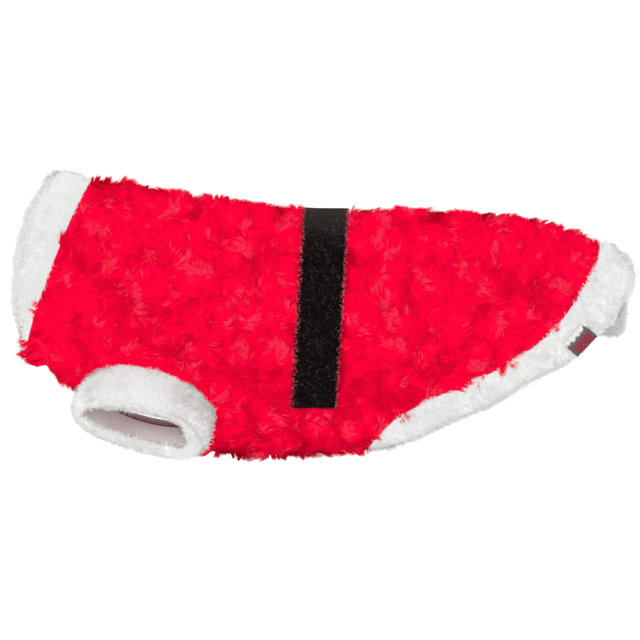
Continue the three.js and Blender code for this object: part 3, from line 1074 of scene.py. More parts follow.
class PileTree:
    """The node tree that stands a bent, tapered fibre on each guide point."""

    finishes = ("Body Finish", "Light Finish", "Deep Finish")

    def __init__(self, name: str) -> None:
        """Builds the tree.

        Args:
            name: The tree's name.
        """
        inputs = {"Bend": "NodeSocketFloat", "Taper": "NodeSocketFloat"}
        inputs |= dict.fromkeys(self.finishes, "NodeSocketMaterial")
        self.tree, self.ids = open_tree(name, "Guides", inputs, "Pile")
        self._wire()

    def _wire(self) -> None:
        """Adds and links the nodes."""
        tree = self.tree
        start, end = add_node(tree, "NodeGroupInput").outputs, add_node(tree, "NodeGroupOutput")
        size = {"Size X": 1.0, "Size Y": 1.0, "Vertices X": 3, "Vertices Y": 2}
        grid = add_node(tree, "GeometryNodeMeshGrid", size)
        place = add_node(tree, "GeometryNodeInputPosition")
        split = add_node(tree, "ShaderNodeSeparateXYZ", {0: place.outputs[0]})
        t = add_math(tree, "ADD", split.outputs["X"], 0.5)
        lost = add_math(tree, "POWER", t, start["Taper"])
        wide = add_math(tree, "MULTIPLY", split.outputs["Y"], add_math(tree, "SUBTRACT", 1.0, lost))
        over = add_math(tree, "POWER", add_math(tree, "SUBTRACT", 1.0, t), start["Bend"])
        bent = {"X": t, "Y": wide, "Z": add_math(tree, "SUBTRACT", 1.0, over)}
        join = add_node(tree, "ShaderNodeCombineXYZ", bent)
        inputs = {"Geometry": grid.outputs["Mesh"], "Position": join.outputs[0]}
        shape = add_node(tree, "GeometryNodeSetPosition", inputs)
        inputs = {"Geometry": shape.outputs[0], "Distance": 0.001}
        weld = add_node(tree, "GeometryNodeMergeByDistance", inputs)
        last = stand_on_points(tree, start["Guides"], weld.outputs[0], read_attribute(tree, "grown"))
        tint = read_attribute(tree, "tint", "FLOAT")
        for number, label in enumerate(self.finishes):
            inputs = {"Geometry": last, "Material": start[label]}
            if number:
                inputs["Selection"] = add_math(tree, "GREATER_THAN", tint, number - 0.5)
            last = add_node(tree, "GeometryNodeSetMaterial", inputs).outputs[0]
        feed(tree, end, {0: last})

    def grow(
        self,
        name: str,
        guides: "Guides",
        finishes: tuple[bpy.types.Material, bpy.types.Material, bpy.types.Material],
        bend: float,
        taper: float,
    ) -> bpy.types.Object:
        """Stands the fibres and makes them one plain mesh.

        Args:
            name: The piece's name.
            guides: Its guide points.
            finishes: Body, light and deep finish.
            bend: How fast a fibre bends over.
            taper: How late it thins.

        Returns:
            The piece.
        """
        guides.settle()
        values = dict(zip(self.ids.values(), (bend, taper, *finishes)))
        data = {"comb": guides.comb, "stand": guides.stand, "grown": guides.grown * MM, "tint": guides.tint}
        return grow_piece(name, self.tree, values, guides.root, data)


@dataclass
class Guides:
    """Guide points of a pile.

    Attributes:
        root: Where each fibre grows, mm.
        normal: The cloth's normal there.
        comb: The way it leans, along the cloth.
        stand: The way its face looks.
        grown: Its length along the cloth, width and height, mm.
        tint: 0 for the body finish, 1 for the light one, 2 for the deep one.
        along: Pattern coordinate along the coat.
        around: Pattern coordinate round it.
        edge: How near it is to a seam or a free rim, from 0 to 1.
    """

    root: Array
    normal: Array
    along: Array
    around: Array
    edge: Array
    comb: Array = field(default_factory=lambda: np.zeros((0, 3)))
    stand: Array = field(default_factory=lambda: np.zeros((0, 3)))
    grown: Array = field(default_factory=lambda: np.zeros((0, 3)))
    tint: Array = field(default_factory=lambda: np.zeros(0))

    def keep(self, chosen: Array) -> "Guides":
        """The guides that a mask keeps."""
        names = ("root", "normal", "along", "around", "edge")
        return Guides(*(getattr(self, name)[chosen] for name in names))

    def noise(self, size: float, seed: int) -> Array:
        """A smooth random number from 0 to 1 for each guide, in cells of some size in mm."""
        return soft_noise(self.along, self.around, size, seed)

    def brim(self) -> Array:
        """How near each guide is to where the coat turns down at its outline, from 0 to 1."""
        return bell(self.normal[:, 2], 0.05, 0.4)

    def lean(self, heading: Array, spread: Array | float, rng: np.random.Generator) -> None:
        """Points the fibres along the cloth.

        Args:
            heading: Angle from the coat's length, in the cloth.
            spread: How far each face tilts at random, for all or for each.
            rng: Random numbers.
        """
        along, around = tangents(self.normal)
        self.comb = along * np.cos(heading)[:, None] + around * np.sin(heading)[:, None]
        self.stand = self.normal + spread * rng.normal(0, 1, self.normal.shape)

    def settle(self, floor: float = 0.15) -> None:
        """Presses flat the fibres that would reach through the surface the coat lies on.

        Args:
            floor: Lowest height of a tip, mm.
        """
        up = unit(self.stand - (self.stand * self.comb).sum(1, keepdims=True) * self.comb)
        self.root[:, 2] = np.maximum(self.root[:, 2], floor)
        room = self.root[:, 2] - floor
        drop = np.maximum(-up[:, 2], 0)
        tallest = np.where(drop > 0, 0.5 * room / np.maximum(drop, 1e-6) + 0.05, np.inf)
        self.grown[:, 2] = np.minimum(self.grown[:, 2], tallest)
        fall = np.maximum(-self.comb[:, 2] * self.grown[:, 0], 0)
        left = np.maximum(room - drop * self.grown[:, 2], 0.02)
        self.grown[:, 0] *= np.minimum(1.0, left / np.maximum(fall, 1e-6))


def scatter(skin: Skin, weight: Array, count: int, rng: np.random.Generator) -> Guides:
    """Scatters guide points over a skin's outer face.

    Args:
        skin: The skin.
        weight: How densely each point of its grid is covered.
        count: How many guide points.
        rng: Random numbers.

    Returns:
        The guides.
    """
    points, normal = skin.outer, skin.normals()
    edge = skin.edge if skin.edge.size else np.zeros(skin.along.shape)
    layers = [points, normal] + [one[:, :, None] for one in (skin.along, skin.around, weight, edge)]
    data = np.concatenate(layers, 2)
    if skin.ring:
        data = np.concatenate([data, data[:, :1]], 1)
    a, b, c, d = data[:-1, :-1], data[:-1, 1:], data[1:, 1:], data[1:, :-1]
    area = np.linalg.norm(np.cross(c[..., :3] - a[..., :3], d[..., :3] - b[..., :3]), axis=2)
    chance = (area * (a[..., 8] + c[..., 8]) / 2).ravel()
    chosen = rng.choice(len(chance), count, p=chance / chance.sum())
    s, t = rng.random((2, count, 1))
    a, b, c, d = (corner.reshape(-1, 10)[chosen] for corner in (a, b, c, d))
    mixed = (a * (1 - s) + b * s) * (1 - t) + (d * (1 - s) + c * s) * t
    return Guides(mixed[:, :3], unit(mixed[:, 3:6]), mixed[:, 6], mixed[:, 7], mixed[:, 9])


def locks(along: Array, around: Array, size: float, seed: int) -> tuple[Array, Array, Array]:
    """Sorts fibres into small locks.

    Args:
        along: Pattern coordinate along the coat.
        around: Pattern coordinate round it.
        size: Distance between locks, mm.
        seed: Their seed.

    Returns:
        The way to each fibre's lock along and round, and a number from 0 to 1 for the lock.
    """
    x = along + 0.9 * size * (soft_noise(along, around, 1.7 * size, seed) - 0.5)
    y = around + 0.9 * size * (soft_noise(along, around, 1.7 * size, seed + 1) - 0.5)
    i, j = np.floor(x / size).astype(int), np.floor(y / size).astype(int)
    table = np.random.default_rng(seed).random((127, 127, 3))
    stray = table[i % 127, j % 127]
    return (
        (i + 0.2 + 0.6 * stray[:, 0]) * size - x,
        (j + 0.2 + 0.6 * stray[:, 1]) * size - y,
        stray[:, 2],
    )


# ---------------------------------------------------------------- pieces
def in_oval(x: Array, y: Array, ring: CuffRing, out: float) -> Array:
    """True inside a cuff ring's oval, `out` mm outside its wall's middle line."""
    dx, dy = x + FORM.centre[0] - ring.x, y + FORM.centre[1] - ring.y
    along, across = along_across(dx, dy, ring.tilt)
    return (along / (ring.half_long + out)) ** 2 + (across / (ring.half_wide + out)) ** 2 < 1


def oval(ring: CuffRing, out: float, turn: Array) -> tuple[Array, Array]:
    """Points of a cuff ring's oval at some angles, `out` mm outside its wall's middle line."""
    tilt = math.radians(ring.tilt)
    along, across = (ring.half_long + out) * np.cos(turn), (ring.half_wide + out) * np.sin(turn)
    x = ring.x + along * math.cos(tilt) - across * math.sin(tilt) - FORM.centre[0]
    y = ring.y + along * math.sin(tilt) + across * math.cos(tilt) - FORM.centre[1]
    return x, y


def cut_hole(piece: bpy.types.Object, ring: CuffRing, bottom: float, top: float) -> None:
    """Cuts a leg hole through one layer of a piece.

    Args:
        piece: The piece.
        ring: The cuff's ring that sits on the hole.
        bottom: Where the cut starts, mm.
        top: Where it ends, mm.
    """
    x, y = oval(ring, -ring.half, np.linspace(0, 2 * math.pi, 73)[:-1])
    low = np.stack([x, y, np.full_like(x, bottom)], 1)
    points = np.concatenate([low, low + [0, 0, top - bottom]]) * MM
    n = len(x)
    sides = [[i, (i + 1) % n, n + (i + 1) % n, n + i] for i in range(n)]
    mesh = bpy.data.meshes.new("hole")
    mesh.from_pydata(points.tolist(), [], sides + [list(range(n))[::-1], list(range(n, 2 * n))])
    cutter = link_object("hole", mesh)
    modifier = piece.modifiers.new("hole", "BOOLEAN")
    modifier.operation, modifier.solver, modifier.object = "DIFFERENCE", "EXACT", cutter
    old, cut = piece.data, applied_mesh(piece)
    piece.modifiers.remove(modifier)
    piece.data = cut
    bpy.data.meshes.remove(old)
    bpy.data.objects.remove(cutter)
    bpy.data.meshes.remove(mesh)


def seat(piece: bpy.types.Object, slot: str, *nodes: str) -> bpy.types.Object:
    """Puts a finished piece on the coat's one body.

    Args:
        piece: The piece.
        slot: Its material slot; not used.
        *nodes: The solids it stands for.

    Returns:
        The piece.
    """
    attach(piece, "root")
    if nodes:
        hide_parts(*nodes)
    LOG.info("%s: %d faces", piece.name, len(piece.data.polygons))
    return piece


BACK_NODES = ("back_panel_front", "back_panel_rear")
BELLY_NODES = ("belly_panel",)


@dataclass
class RedPlush:
    """The back and belly panels of red swirl plush, with the pile that stands on them.

    Attributes:
        under: How far inside the outer skin the dense under-pile lies, mm.
        relief: Depth of its hollows between the swirls, mm.
        bed: How deep the belt presses it, mm.
        length: Length of a fibre, mm.
        width: Its width, mm.
        lock: Distance between locks of fibres, mm.
        throat: Middle and radius of the pile that hangs out over the collar at the throat, mm.
        near_fibres: Fibres in each piece of the back's upper pile.
        near_pieces: How many such pieces there are.
        belly_fibres: Fibres of the belly's pile.
        far_fibres: Fibres of the back's lower pile.
        back_cut: Width and length of the back's flat cloth, m.
        back_area: Its area, square metres.
        belly_cut: Width and length of the belly's flat cloth, m.
        belly_area: Its area, square metres.
        leg_cuts: Height of the leg holes' cuts: below the coat, between its layers, above it, mm.
        seed: Seed of the pile.
    """

    under: float = 3.6
    relief: float = 2.2
    bed: float = 4.4
    length: float = 10.0
    width: float = 0.6
    lock: float = 3.4
    throat: tuple[float, float, float] = (-203.0, -29.0, 15.0)
    near_fibres: int = 53000
    near_pieces: int = 3
    belly_fibres: int = 27000
    far_fibres: int = 12000
    back_cut: tuple[float, float] = (0.40, 0.32)
    back_area: float = 0.096
    belly_cut: tuple[float, float] = (0.08, 0.27)
    belly_area: float = 0.013
    leg_cuts: tuple[float, float, float] = (-5.0, 21.0, 70.0)
    seed: int = 11

    def skin(self, part: Part) -> Skin:
        """The panel's cloth and dense under-pile.

        Args:
            part: Which panel.

        Returns:
            Its skin.
        """
        by_belt = [BELT_FROM - 0.03, BELT_FROM, BELT_TO, BELT_TO + 0.03]
        at = np.unique(np.concatenate([np.linspace(0, LAST, 18 * LAST + 1), by_belt]))
        rows = FORM.rows(STATIONS, at)
        where = Round.of(part, 66, 9, 9, 0.3)
        under_belt = (part is Part.BACK) & (at >= BELT_FROM) & (at <= BELT_TO)
        bed = self.bed * under_belt[:, None]
        inner = FORM.points(rows, where, FORM.near_wall, FORM.far_wall, FORM.fold_wall)
        first = Skin(FORM.points(rows, where, 3, 2, 2), inner, False)
        first.map_pattern()
        height = SWIRLS.at(first.along, first.around)[1]
        deep = self.relief * (0.9 - height)
        near = np.minimum(self.under + deep + bed * 0.6, 8.0)
        far = np.minimum(1.6 + 0.5 * deep + bed * 0.75, 5.2)
        fold = np.minimum(3.0 + deep * 0.8 + bed * 0.6, 6.0)
        made = Skin(FORM.points(rows, where, near, far, fold), inner, False)
        made.along, made.around = first.along, first.around
        made.edge = (1 - smooth_step(np.minimum(at, LAST - at), 0.0, 0.28))[:, None] + 0 * first.along
        return made

    def comb(self, guides: Guides, rng: np.random.Generator, pressed: float = 1.0) -> Guides:
        """Combs the fibres in swirls, gathers them in locks and picks their tints, which hold painted
        highlights and painted shade.

        Args:
            guides: The fibres' guides.
            rng: Random numbers.
            pressed: How tall they stand, 1 for free pile.

        Returns:
            The same guides, combed.
        """
        count = len(guides.root)
        heading, height, lick, shade = SWIRLS.at(guides.along, guides.around)
        to_x, to_y, lot = locks(guides.along, guides.around, self.lock, 31)
        stray = smooth_step(guides.noise(6.5, 71), 0.74, 0.92)
        tufts = np.clip(1.3 * lick * (0.4 + 1.1 * lot) + 0.7 * stray, 0, 1)
        blotch = smooth_step(guides.noise(19.0, 72), 0.52, 0.8)
        x, y = guides.root[:, 0] + FORM.centre[0], guides.root[:, 1] + FORM.centre[1]
        # Painted shade in the troughs of the upper layer's folds.
        valley_shade = smooth_step(-FORM.fold_at(x, y), 0.4, 2.2) * (guides.root[:, 2] > 18)
        brow = smooth_step(guides.normal[:, 2], -0.3, 0.75)
        length = self.length * (0.8 + 0.25 * lot) * rng.uniform(0.85, 1.1, count) * (0.72 + 0.28 * brow)
        off_x, off_y = guides.root[:, 0] - self.throat[0], guides.root[:, 1] - self.throat[1]
        throat = np.hypot(off_x, off_y) < self.throat[2]
        length *= (1 - (0.2 + 0.4 * (lot < 0.6)) * guides.edge * ~throat) * (1 - 0.25 * tufts)
        turn = heading + (lot - 0.5) * (0.5 + 0.6 * tufts) + rng.normal(0, 0.07, count)
        turn = np.where(throat, math.pi + 0.9 * (lot - 0.3), turn)
        x = length * np.cos(turn) + 0.6 * to_x
        y = length * np.sin(turn) + 0.6 * to_y
        reach = np.hypot(x, y)
        guides.lean(np.arctan2(y, x), 0.06 + 0.14 * tufts[:, None], rng)
        rise = (0.13 + 0.06 * lot + 0.28 * tufts) * length * pressed
        brim = guides.brim() * (0.2 + 0.8 * (lot > 0.5))
        x, y = guides.root[:, 0], guides.root[:, 1]
        crown = np.where((x < -132) | (x > 150), 0.72, 0.3)
        stands = np.where(y > 40, crown, np.where((y < -60) & (x > -90), 0.45, 0.55))
        rise += length * brim * stands * rng.uniform(0.5, 1.2, count)
        rise += 3.0 * throat * (lot > 0.4)
        flat = reach * (0.95 - 0.25 * tufts)
        width = self.width * rng.uniform(0.7, 1.2, count) * (1 - 0.55 * tufts)
        guides.grown = np.stack([flat, width, rise], 1)
        guides.root = guides.root - guides.normal * (0.4 if pressed > 0.5 else -0.25)
        draw = rng.random((2, count)) * 0.4
        pick = 0.6 * locks(guides.along, guides.around, 1.2, 37)[2]
        # Painted highlight: fibres in the licks take the lighter pink finish, seldom in the fold valleys.
        light = draw[0] + pick < (0.01 + 0.72 * tufts) * (1 - 0.8 * valley_shade)
        # Painted shade: the darker finish goes in the hollows between swirls, in the shaded hollow beside
        # each lick, in the fold valleys, where the cloth turns down and towards the belly edge; the blotches
        # add darker tone at random.
        hollow = 1 - smooth_step(height, 0.0, 0.35)
        pick = 0.85 * locks(guides.along, guides.around, 5.0, 38)[2]
        # Painted shade where the cloth turns down and away from the light, and darker towards the belly edge.
        turned = 0.55 * (1 - brow) * (y < 20) + 0.45 * smooth_step(-y, 60.0, 90.0)
        deep = 0.35 * draw[1] + pick < 0.25 * hollow + 0.35 * shade + 0.3 * blotch + 0.9 * valley_shade + turned
        guides.tint = np.where(light, 1.0, np.where(deep, 2.0, 0.0))
        return guides

    def clear(self, guides: Guides) -> Guides:
        """Drops the fibres under the belt and the leg cuffs."""
        x, y, z = guides.root.T
        fore, aft = STATIONS[BELT_FROM], STATIONS[BELT_TO]
        lean = (y - fore.belly_y + FORM.centre[1]) / (fore.spine_y - fore.belly_y)
        front = fore.belly_x + (fore.spine_x - fore.belly_x) * lean - FORM.centre[0]
        rear = aft.belly_x + (aft.spine_x - aft.belly_x) * lean - FORM.centre[0]
        seam = fore.spine_y + (fore.belly_y - fore.spine_y) * 0.80 - FORM.centre[1]
        belt = (x > front + 0.4) & (x < rear - 0.4) & (y > seam)
        up = z > 20
        leg = in_oval(x, y, NEAR_CUFF[1], 1.5) & up | in_oval(x, y, FAR_CUFF[1], 1.5) & ~up
        return guides.keep(~belt & ~leg)

    def build(self, tree: PileTree) -> None:
        """Builds and dresses both panels.

        Args:
            tree: The pile's node tree.
        """
        ground = Cloth("red_under_pile", (0.74, 0.0005, 0.032), (0.84, 0.0006, 0.042), sheen=0.0)
        lining = Cloth("red_plush_reverse", (0.62, 0.40, 0.41), (0.70, 0.50, 0.50), grain=1500.0)
        under = [ground.material(), lining.material()]
        body = Fibre("red_fibre", (0.845, 0.0003, 0.040), shine=0.01).material()
        # The lighter pink finish is painted highlight on the licks.
        light = Fibre("red_fibre_light", (0.955, 0.026, 0.088), 0.6, 0.15, (1.0, 0.5, 0.62), 0.12).material()
        # The darker red finish is painted shade, with some random blotches.
        deep = Fibre("red_fibre_deep", (0.68, 0.0003, 0.029), shine=0.01).material()
        finishes = (body, light, deep)
        rng = np.random.default_rng(self.seed)
        back, belly = self.skin(Part.BACK), self.skin(Part.BELLY)
        piles: dict[Part, list[bpy.types.Object]] = {Part.BACK: [], Part.BELLY: []}
        for part, skin in ((Part.BACK, back), (Part.BELLY, belly)):
            upper = smooth_step(skin.normals()[:, :, 2], -0.75, -0.35)
            if part is Part.BACK:
                lots = [(f"back_pile_{k + 1}", self.near_fibres, upper, 1.0) for k in range(self.near_pieces)]
                lots.append(("back_pile_under", self.far_fibres, 1.0 - upper, 0.25))
            else:
                lots = [("belly_pile", self.belly_fibres, np.maximum(upper, 0.12), 0.85)]
            for name, count, weight, pressed in lots:
                guides = self.clear(scatter(skin, weight, count, rng))
                guides = self.comb(guides, rng, pressed)
                piece = tree.grow(name, guides, finishes, 2.2, 2.4)
                piles[part].append(seat(piece, "red_plush"))
        for name, part, skin, cut, area, nodes in (
            ("back_panel_cloth", Part.BACK, back, self.back_cut, self.back_area, BACK_NODES),
            ("belly_panel_cloth", Part.BELLY, belly, self.belly_cut, self.belly_area, BELLY_NODES),
        ):
            piece = wall_object(name, skin, under)
            low, between, high = self.leg_cuts
            cut_hole(piece, NEAR_CUFF[1], between, high)
            cut_hole(piece, FAR_CUFF[1], low, between)
            seat(piece, "red_plush", *nodes)


@dataclass
class VelvetBelt:
    """The belt of doubled velvet, laid over the back from seam to seam.

    Attributes:
        bed: How deep its bed in the plush is, mm.
        gap: Gap between it and the bed, mm.
        thick: Its thickness, mm.
        pucker: Height of its slight waves, mm.
        turned: How far its face turns in at the long edges, mm.
        turned_from: How near to an edge that starts, as a share of its width.
        nap_fibres: Fibres of its nap.
        fuzz_fibres: Red fibres along its long edges.
        hair_share: Share of the nap that is stray hairs.
        nap_seed: Seed of the nap.
        fuzz_seed: Seed of the red fibres.
        cut: Its flat width and length, m.
    """

    bed: float = 4.0
    gap: float = 0.3
    thick: float = 2.6
    pucker: float = 0.35
    turned: float = 1.1
    turned_from: float = 0.06
    nap_fibres: int = 14000
    fuzz_fibres: int = 1000
    hair_share: float = 0.02
    nap_seed: int = 61
    fuzz_seed: int = 67
    cut: tuple[float, float] = (0.033, 0.30)

    def build(self, tree: PileTree) -> None:
        """Builds and dresses the belt.

        Args:
            tree: The pile's node tree.
        """
        share = np.concatenate([[0.012, 0.03, 0.06], np.linspace(0.1, 0.9, 19), [0.94, 0.97, 0.988]])
        rows = FORM.rows(STATIONS, BELT_FROM + share)
        where = Round.of(Part.BACK, 70, 2, 12, 0.4)
        edge = np.clip(np.minimum(share, 1 - share)[:, None] / self.turned_from, 0, 1)
        turned = self.turned * (1 - np.sqrt(np.clip(1 - (1 - edge) ** 2, 0, 1)))
        under = self.bed - self.gap
        inner = FORM.points(rows, where, under, under, under)
        flat = Skin(FORM.points(rows, where, 1, 1, 1), inner, False)
        flat.map_pattern()
        soft = self.pucker * (soft_noise(flat.along, flat.around, 12, 8) - 0.5) * 2
        end = smooth_step(flat.around, -58.0, -46.0)
        crease = 0.9 * bell(flat.around + 0.12 * flat.along, -47, 3.2)
        top = under - self.thick + turned + soft + crease + 0.5 * (1 - end)
        made = Skin(FORM.points(rows, where, top, np.maximum(top, 0.9), top), inner, False)
        made.along, made.around = flat.along, flat.around
        piece = wall_object("belt_velvet", made, [Velvet().material()] * 2)
        seat(piece, "black_velvet", "belt")
        nap = seat(self.nap(tree, made), "black_velvet")
        seat(self.fuzz(tree, made), "red_plush")

    def fuzz(self, tree: PileTree, skin: Skin) -> bpy.types.Object:
        """Grows the thin line of red fibres that curl over the belt's long edges.

        Args:
            tree: The pile's node tree.
            skin: The belt's skin.

        Returns:
            The fuzz.
        """
        rng = np.random.default_rng(self.fuzz_seed)
        weight = np.zeros(skin.along.shape)
        weight[:2] = weight[-2:] = 1.0
        weight = weight * smooth_step(skin.normals()[:, :, 2], -0.4, 0.1)
        guides = scatter(skin, weight, self.fuzz_fibres, rng)
        count = len(guides.root)
        guides.lean(rng.uniform(0, 2 * math.pi, count), 0.4, rng)
        length = rng.uniform(0.8, 2.4, count)
        guides.grown = np.stack([length, rng.uniform(0.2, 0.34, count), rng.uniform(0.3, 1.0, count)], 1)
        guides.tint = np.where(rng.random(count) < 0.5, 1.0, 0.0)
        red = Fibre("edge_fuzz", (0.55, 0.008, 0.04)).material()
        pink = Fibre("edge_fuzz_light", (0.75, 0.16, 0.22)).material()
        return tree.grow("belt_edge_fuzz", guides, (red, pink, red), 1.8, 2.0)

    def nap(self, tree: PileTree, skin: Skin) -> bpy.types.Object:
        """Grows the velvet's short nap, with stray hairs caught in it and painted sheen towards the spine
        fold.

        Args:
            tree: The pile's node tree.
            skin: The belt's skin.

        Returns:
            The nap.
        """
        rng = np.random.default_rng(self.nap_seed)
        weight = np.maximum(smooth_step(skin.normals()[:, :, 2], -0.6, 0.0), 0.02)
        guides = scatter(skin, weight, self.nap_fibres, rng)
        count = len(guides.root)
        flow = 5.0 * guides.noise(16, 62) + rng.normal(0, 0.5, count)
        hair = rng.random(count) < self.hair_share
        guides.lean(np.where(hair, rng.uniform(0, 6.3, count), flow), 0.3, rng)
        length = np.where(hair, rng.uniform(2.0, 4.5, count), rng.uniform(1.0, 1.9, count))
        rise = np.where(hair, 0.7, 0.5) * rng.uniform(0.7, 1.2, count)
        guides.grown = np.stack([length, np.where(hair, 0.16, 0.34), rise], 1)
        guides.root = guides.root - guides.normal * 0.15
        # Painted sheen: towards the spine fold most of the nap takes the brownish finish; elsewhere a few
        # fibres do, at random.
        painted_sheen = 0.08 + 0.75 * smooth_step(guides.root[:, 1], 50.0, 70.0)
        guides.tint = np.where(hair, 1.0, np.where(rng.random(count) < painted_sheen, 2.0, 0.0))
        black = Fibre("velvet_nap", (0.0026, 0.0014, 0.0012), 0.8, 0.0, (1.0, 0.9, 0.85), 0.03)
        grey = Fibre("stray_hair", (0.11, 0.10, 0.095), 0.6)
        brown = Fibre("velvet_nap_brown", (0.033, 0.0235, 0.0225), 0.7, 0.05, (1.0, 0.9, 0.85), 0.1)
        finishes = (black.material(), grey.material(), brown.material())
        return tree.grow("belt_nap", guides, finishes, 1.8, 2.0)


@dataclass
class WhitePlush:
    """The collar trim, hem trim and leg cuffs of short white plush.

    Attributes:
        step: How much lower than the red pile a trim lies, mm.
        collar_roll: How far each face turns in at the collar's free edge, mm.
        hem_roll: The same at the hem's.
        round_from: Where that starts, as a share of the trim's length.
        rim: How far the free edge rounds out, mm.
        lip_fat: How much the near cuff's turned-in lip swells at the front, mm.
        span: How much of the way to its last station a trim reaches.
        tuck: How far a trim's lower layer is tucked under the upper one, mm.
        notch_deep: Depth of the upper layer's notch beside the label, mm.
        shows: Place, width and reach of the lower layer where it shows beside the label.
        under: How far inside the outer skin the dense under-pile lies, mm.
        length: Length of a fibre, mm.
        width: Its width, mm.
        lock: Distance between locks of fibres, mm.
        collar_fibres: Fibres of the collar's pile.
        hem_fibres: Fibres of the hem's pile.
        cuff_fibres: Fibres of the near cuff's pile.
        far_cuff_fibres: Fibres of the far cuff's pile.
        cuff_from: Where a cuff's cloth starts, in rings.
        cuff_radius: A cuff's middling radius, for its pattern, mm.
        ring_pitch: Distance from ring to ring, for its pattern, mm.
        seed: Seed of the pile.
        cuts: Each piece's flat width, length (m) and area (square metres).
    """

    step: float = 1.5
    collar_roll: float = 3.6
    hem_roll: float = 3.2
    round_from: float = 0.62
    rim: float = 1.8
    lip_fat: float = 2.2
    span: float = 0.86
    tuck: float = 6.0
    notch_deep: float = 2.6
    shows: tuple[float, float, float] = (0.165, 0.055, 6.5)
    under: float = 2.6
    length: float = 4.4
    width: float = 0.38
    lock: float = 2.2
    collar_fibres: int = 17000
    hem_fibres: int = 24000
    cuff_fibres: int = 24000
    far_cuff_fibres: int = 13000
    cuff_from: float = 0.35
    cuff_radius: float = 42.0
    ring_pitch: float = 7.0
    seed: int = 23
    cuts: dict[str, tuple[float, float, float]] = field(
        default_factory=lambda: {
            "collar_trim": (0.25, 0.03, 0.0057),
            "hem_trim": (0.46, 0.04, 0.0103),
            "leg_cuff_near": (0.21, 0.045, 0.0073),
            "leg_cuff_far": (0.20, 0.03, 0.0043),
        }
    )

    def finishes(self) -> tuple[list[bpy.types.Material], tuple[bpy.types.Material, ...]]:
        """The cloth's two faces, and the fibres' three tints."""
        ground = Cloth("white_under_pile", (0.73, 0.73, 0.725), (0.77, 0.77, 0.765), sheen=0.0)
        lining = Cloth("white_plush_reverse", (0.50, 0.38, 0.39), (0.66, 0.62, 0.61), 26.0, 1500.0, 0.0001)
        body = Fibre("white_fibre", (0.76, 0.76, 0.755))
        light = Fibre("white_fibre_light", (0.80, 0.80, 0.795))
        # The deep finish serves as painted shade on a trim's lower layer, and as random darker tone.
        deep = Fibre("white_fibre_deep", (0.66, 0.66, 0.66))
        return [ground.material(), lining.material()], tuple(f.material() for f in (body, light, deep))

    def turned(self, share: Array, roll: float) -> tuple[Array, Array]:
        """A trim's round at its free edge.

        Args:
            share: Places from the seam to the free edge, from 0 to 1.
            roll: How far each face turns in.

        Returns:
            How far along the round each place is, from 0 to 1, and how far it has turned in.
        """
        t = np.clip((share - self.round_from) / (1 - self.round_from), 0, 1)
        return t, (roll * (1 - np.sqrt(1 - t * t * 0.96)))[:, None]

    def trim_skin(self, table: tuple[Station, ...], roll: float, away: float) -> Skin:
        """A trim's cloth and under-pile.

        Args:
            table: Its seam and free edge.
            roll: How much each face turns in at the free edge.
            away: 1 if it lies behind its seam, -1 if before it.

        Returns:
            Its skin.
        """
        share = np.concatenate([np.linspace(0, 0.72, 9), [0.8, 0.87, 0.92, 0.96, 0.985, 1.0]])
        rows = FORM.rows(table, share * self.span)
        rows[:, PEEK] = table[1].peek * share
        where = Round.of(Part.RING, 90, 18, 10, 0.6)
        t, turned = self.turned(share, roll)
        lower = (np.sin(where.turn) * (where.up < 0))[None]
        spine = (where.kind == Kind.SPINE_FOLD.value)[None]
        down = np.where(where.kind == Kind.BACK_FLAT.value, 0.075 + 0.765 * where.share, 0.9)[None]
        down = np.where(spine, 0.07, down)
        back = self.tuck * lower
        if away < 0:
            back = back + 5.0 * smooth_step(down, 0.6, 0.9) - 2.2 * bell(down, 0.3, 0.15)
        if away > 0:
            at, spread, out = self.shows
            back = back - (out + self.tuck) * lower * bell(down, at, spread)
            back = back + self.notch_deep * (where.up > 0) * bell(down, at - 0.05, 0.03)
        push = away * (0.15 * (1 - share)[:, None] - share[:, None] * back)
        under = push - away * 2.4 * share[:, None] ** 2 * (away > 0)
        near, far = FORM.near_wall - 0.2 * turned, FORM.far_wall - 0.2 * turned
        inner = FORM.points(rows, where, near, far, FORM.fold_wall, under)
        flat = Skin(FORM.points(rows, where, 2, 2, 2, push), inner, True)
        flat.map_pattern()
        bend = np.linspace(0, math.pi, 8)[1:, None, None]
        lumps = 1.4 * (soft_noise(flat.along, flat.around, 13, 15) - 0.5)
        lumps = lumps + 0.5 * (soft_noise(flat.along, flat.around, 5, 16) - 0.5)
        near = np.minimum(self.step + turned + self.under + lumps, 8.0)
        far = turned * 0.4 + 1.6 + 0.4 * lumps
        bulge = spine * smooth_step(share, 0.0, 0.5)[:, None]
        fold = np.minimum(2.2 - 3.2 * bulge + turned * (0.6 - 0.3 * bulge) + lumps, 6.3)
        outer = FORM.points(rows, where, near, far, fold, push - (0.1 if away > 0 else -1.4) * t[:, None])
        ahead = unit((outer[-1] - outer[-4]) * [1, 1, 0])
        middle, half = (outer[-1] + inner[-1]) / 2, (outer[-1] - inner[-1]) / 2
        lap = middle + half * np.cos(bend) + ahead * self.rim * np.sin(bend)
        back = inner[-2:-6:-1] + 0.25 * unit(half)
        count = len(lap) + len(back)
        grid = np.linspace(0, len(share) - 6.05, len(share) + count)
        i = np.minimum(np.floor(grid).astype(int), len(share) - 2)
        part = (grid - i)[:, None, None]
        made = Skin(np.concatenate([outer, lap, back]), inner[i] * (1 - part) + inner[i + 1] * part, True)
        beyond = np.arange(1, count + 1)[:, None] * 1.2
        made.along = np.concatenate([flat.along, flat.along[-1:] + away * beyond])
        made.around = np.concatenate([flat.around, np.repeat(flat.around[-1:], count, 0)])
        made.edge = np.concatenate([smooth_step(share, 0.8, 1.0), np.ones(count)])[:, None] + 0 * made.along
        return made

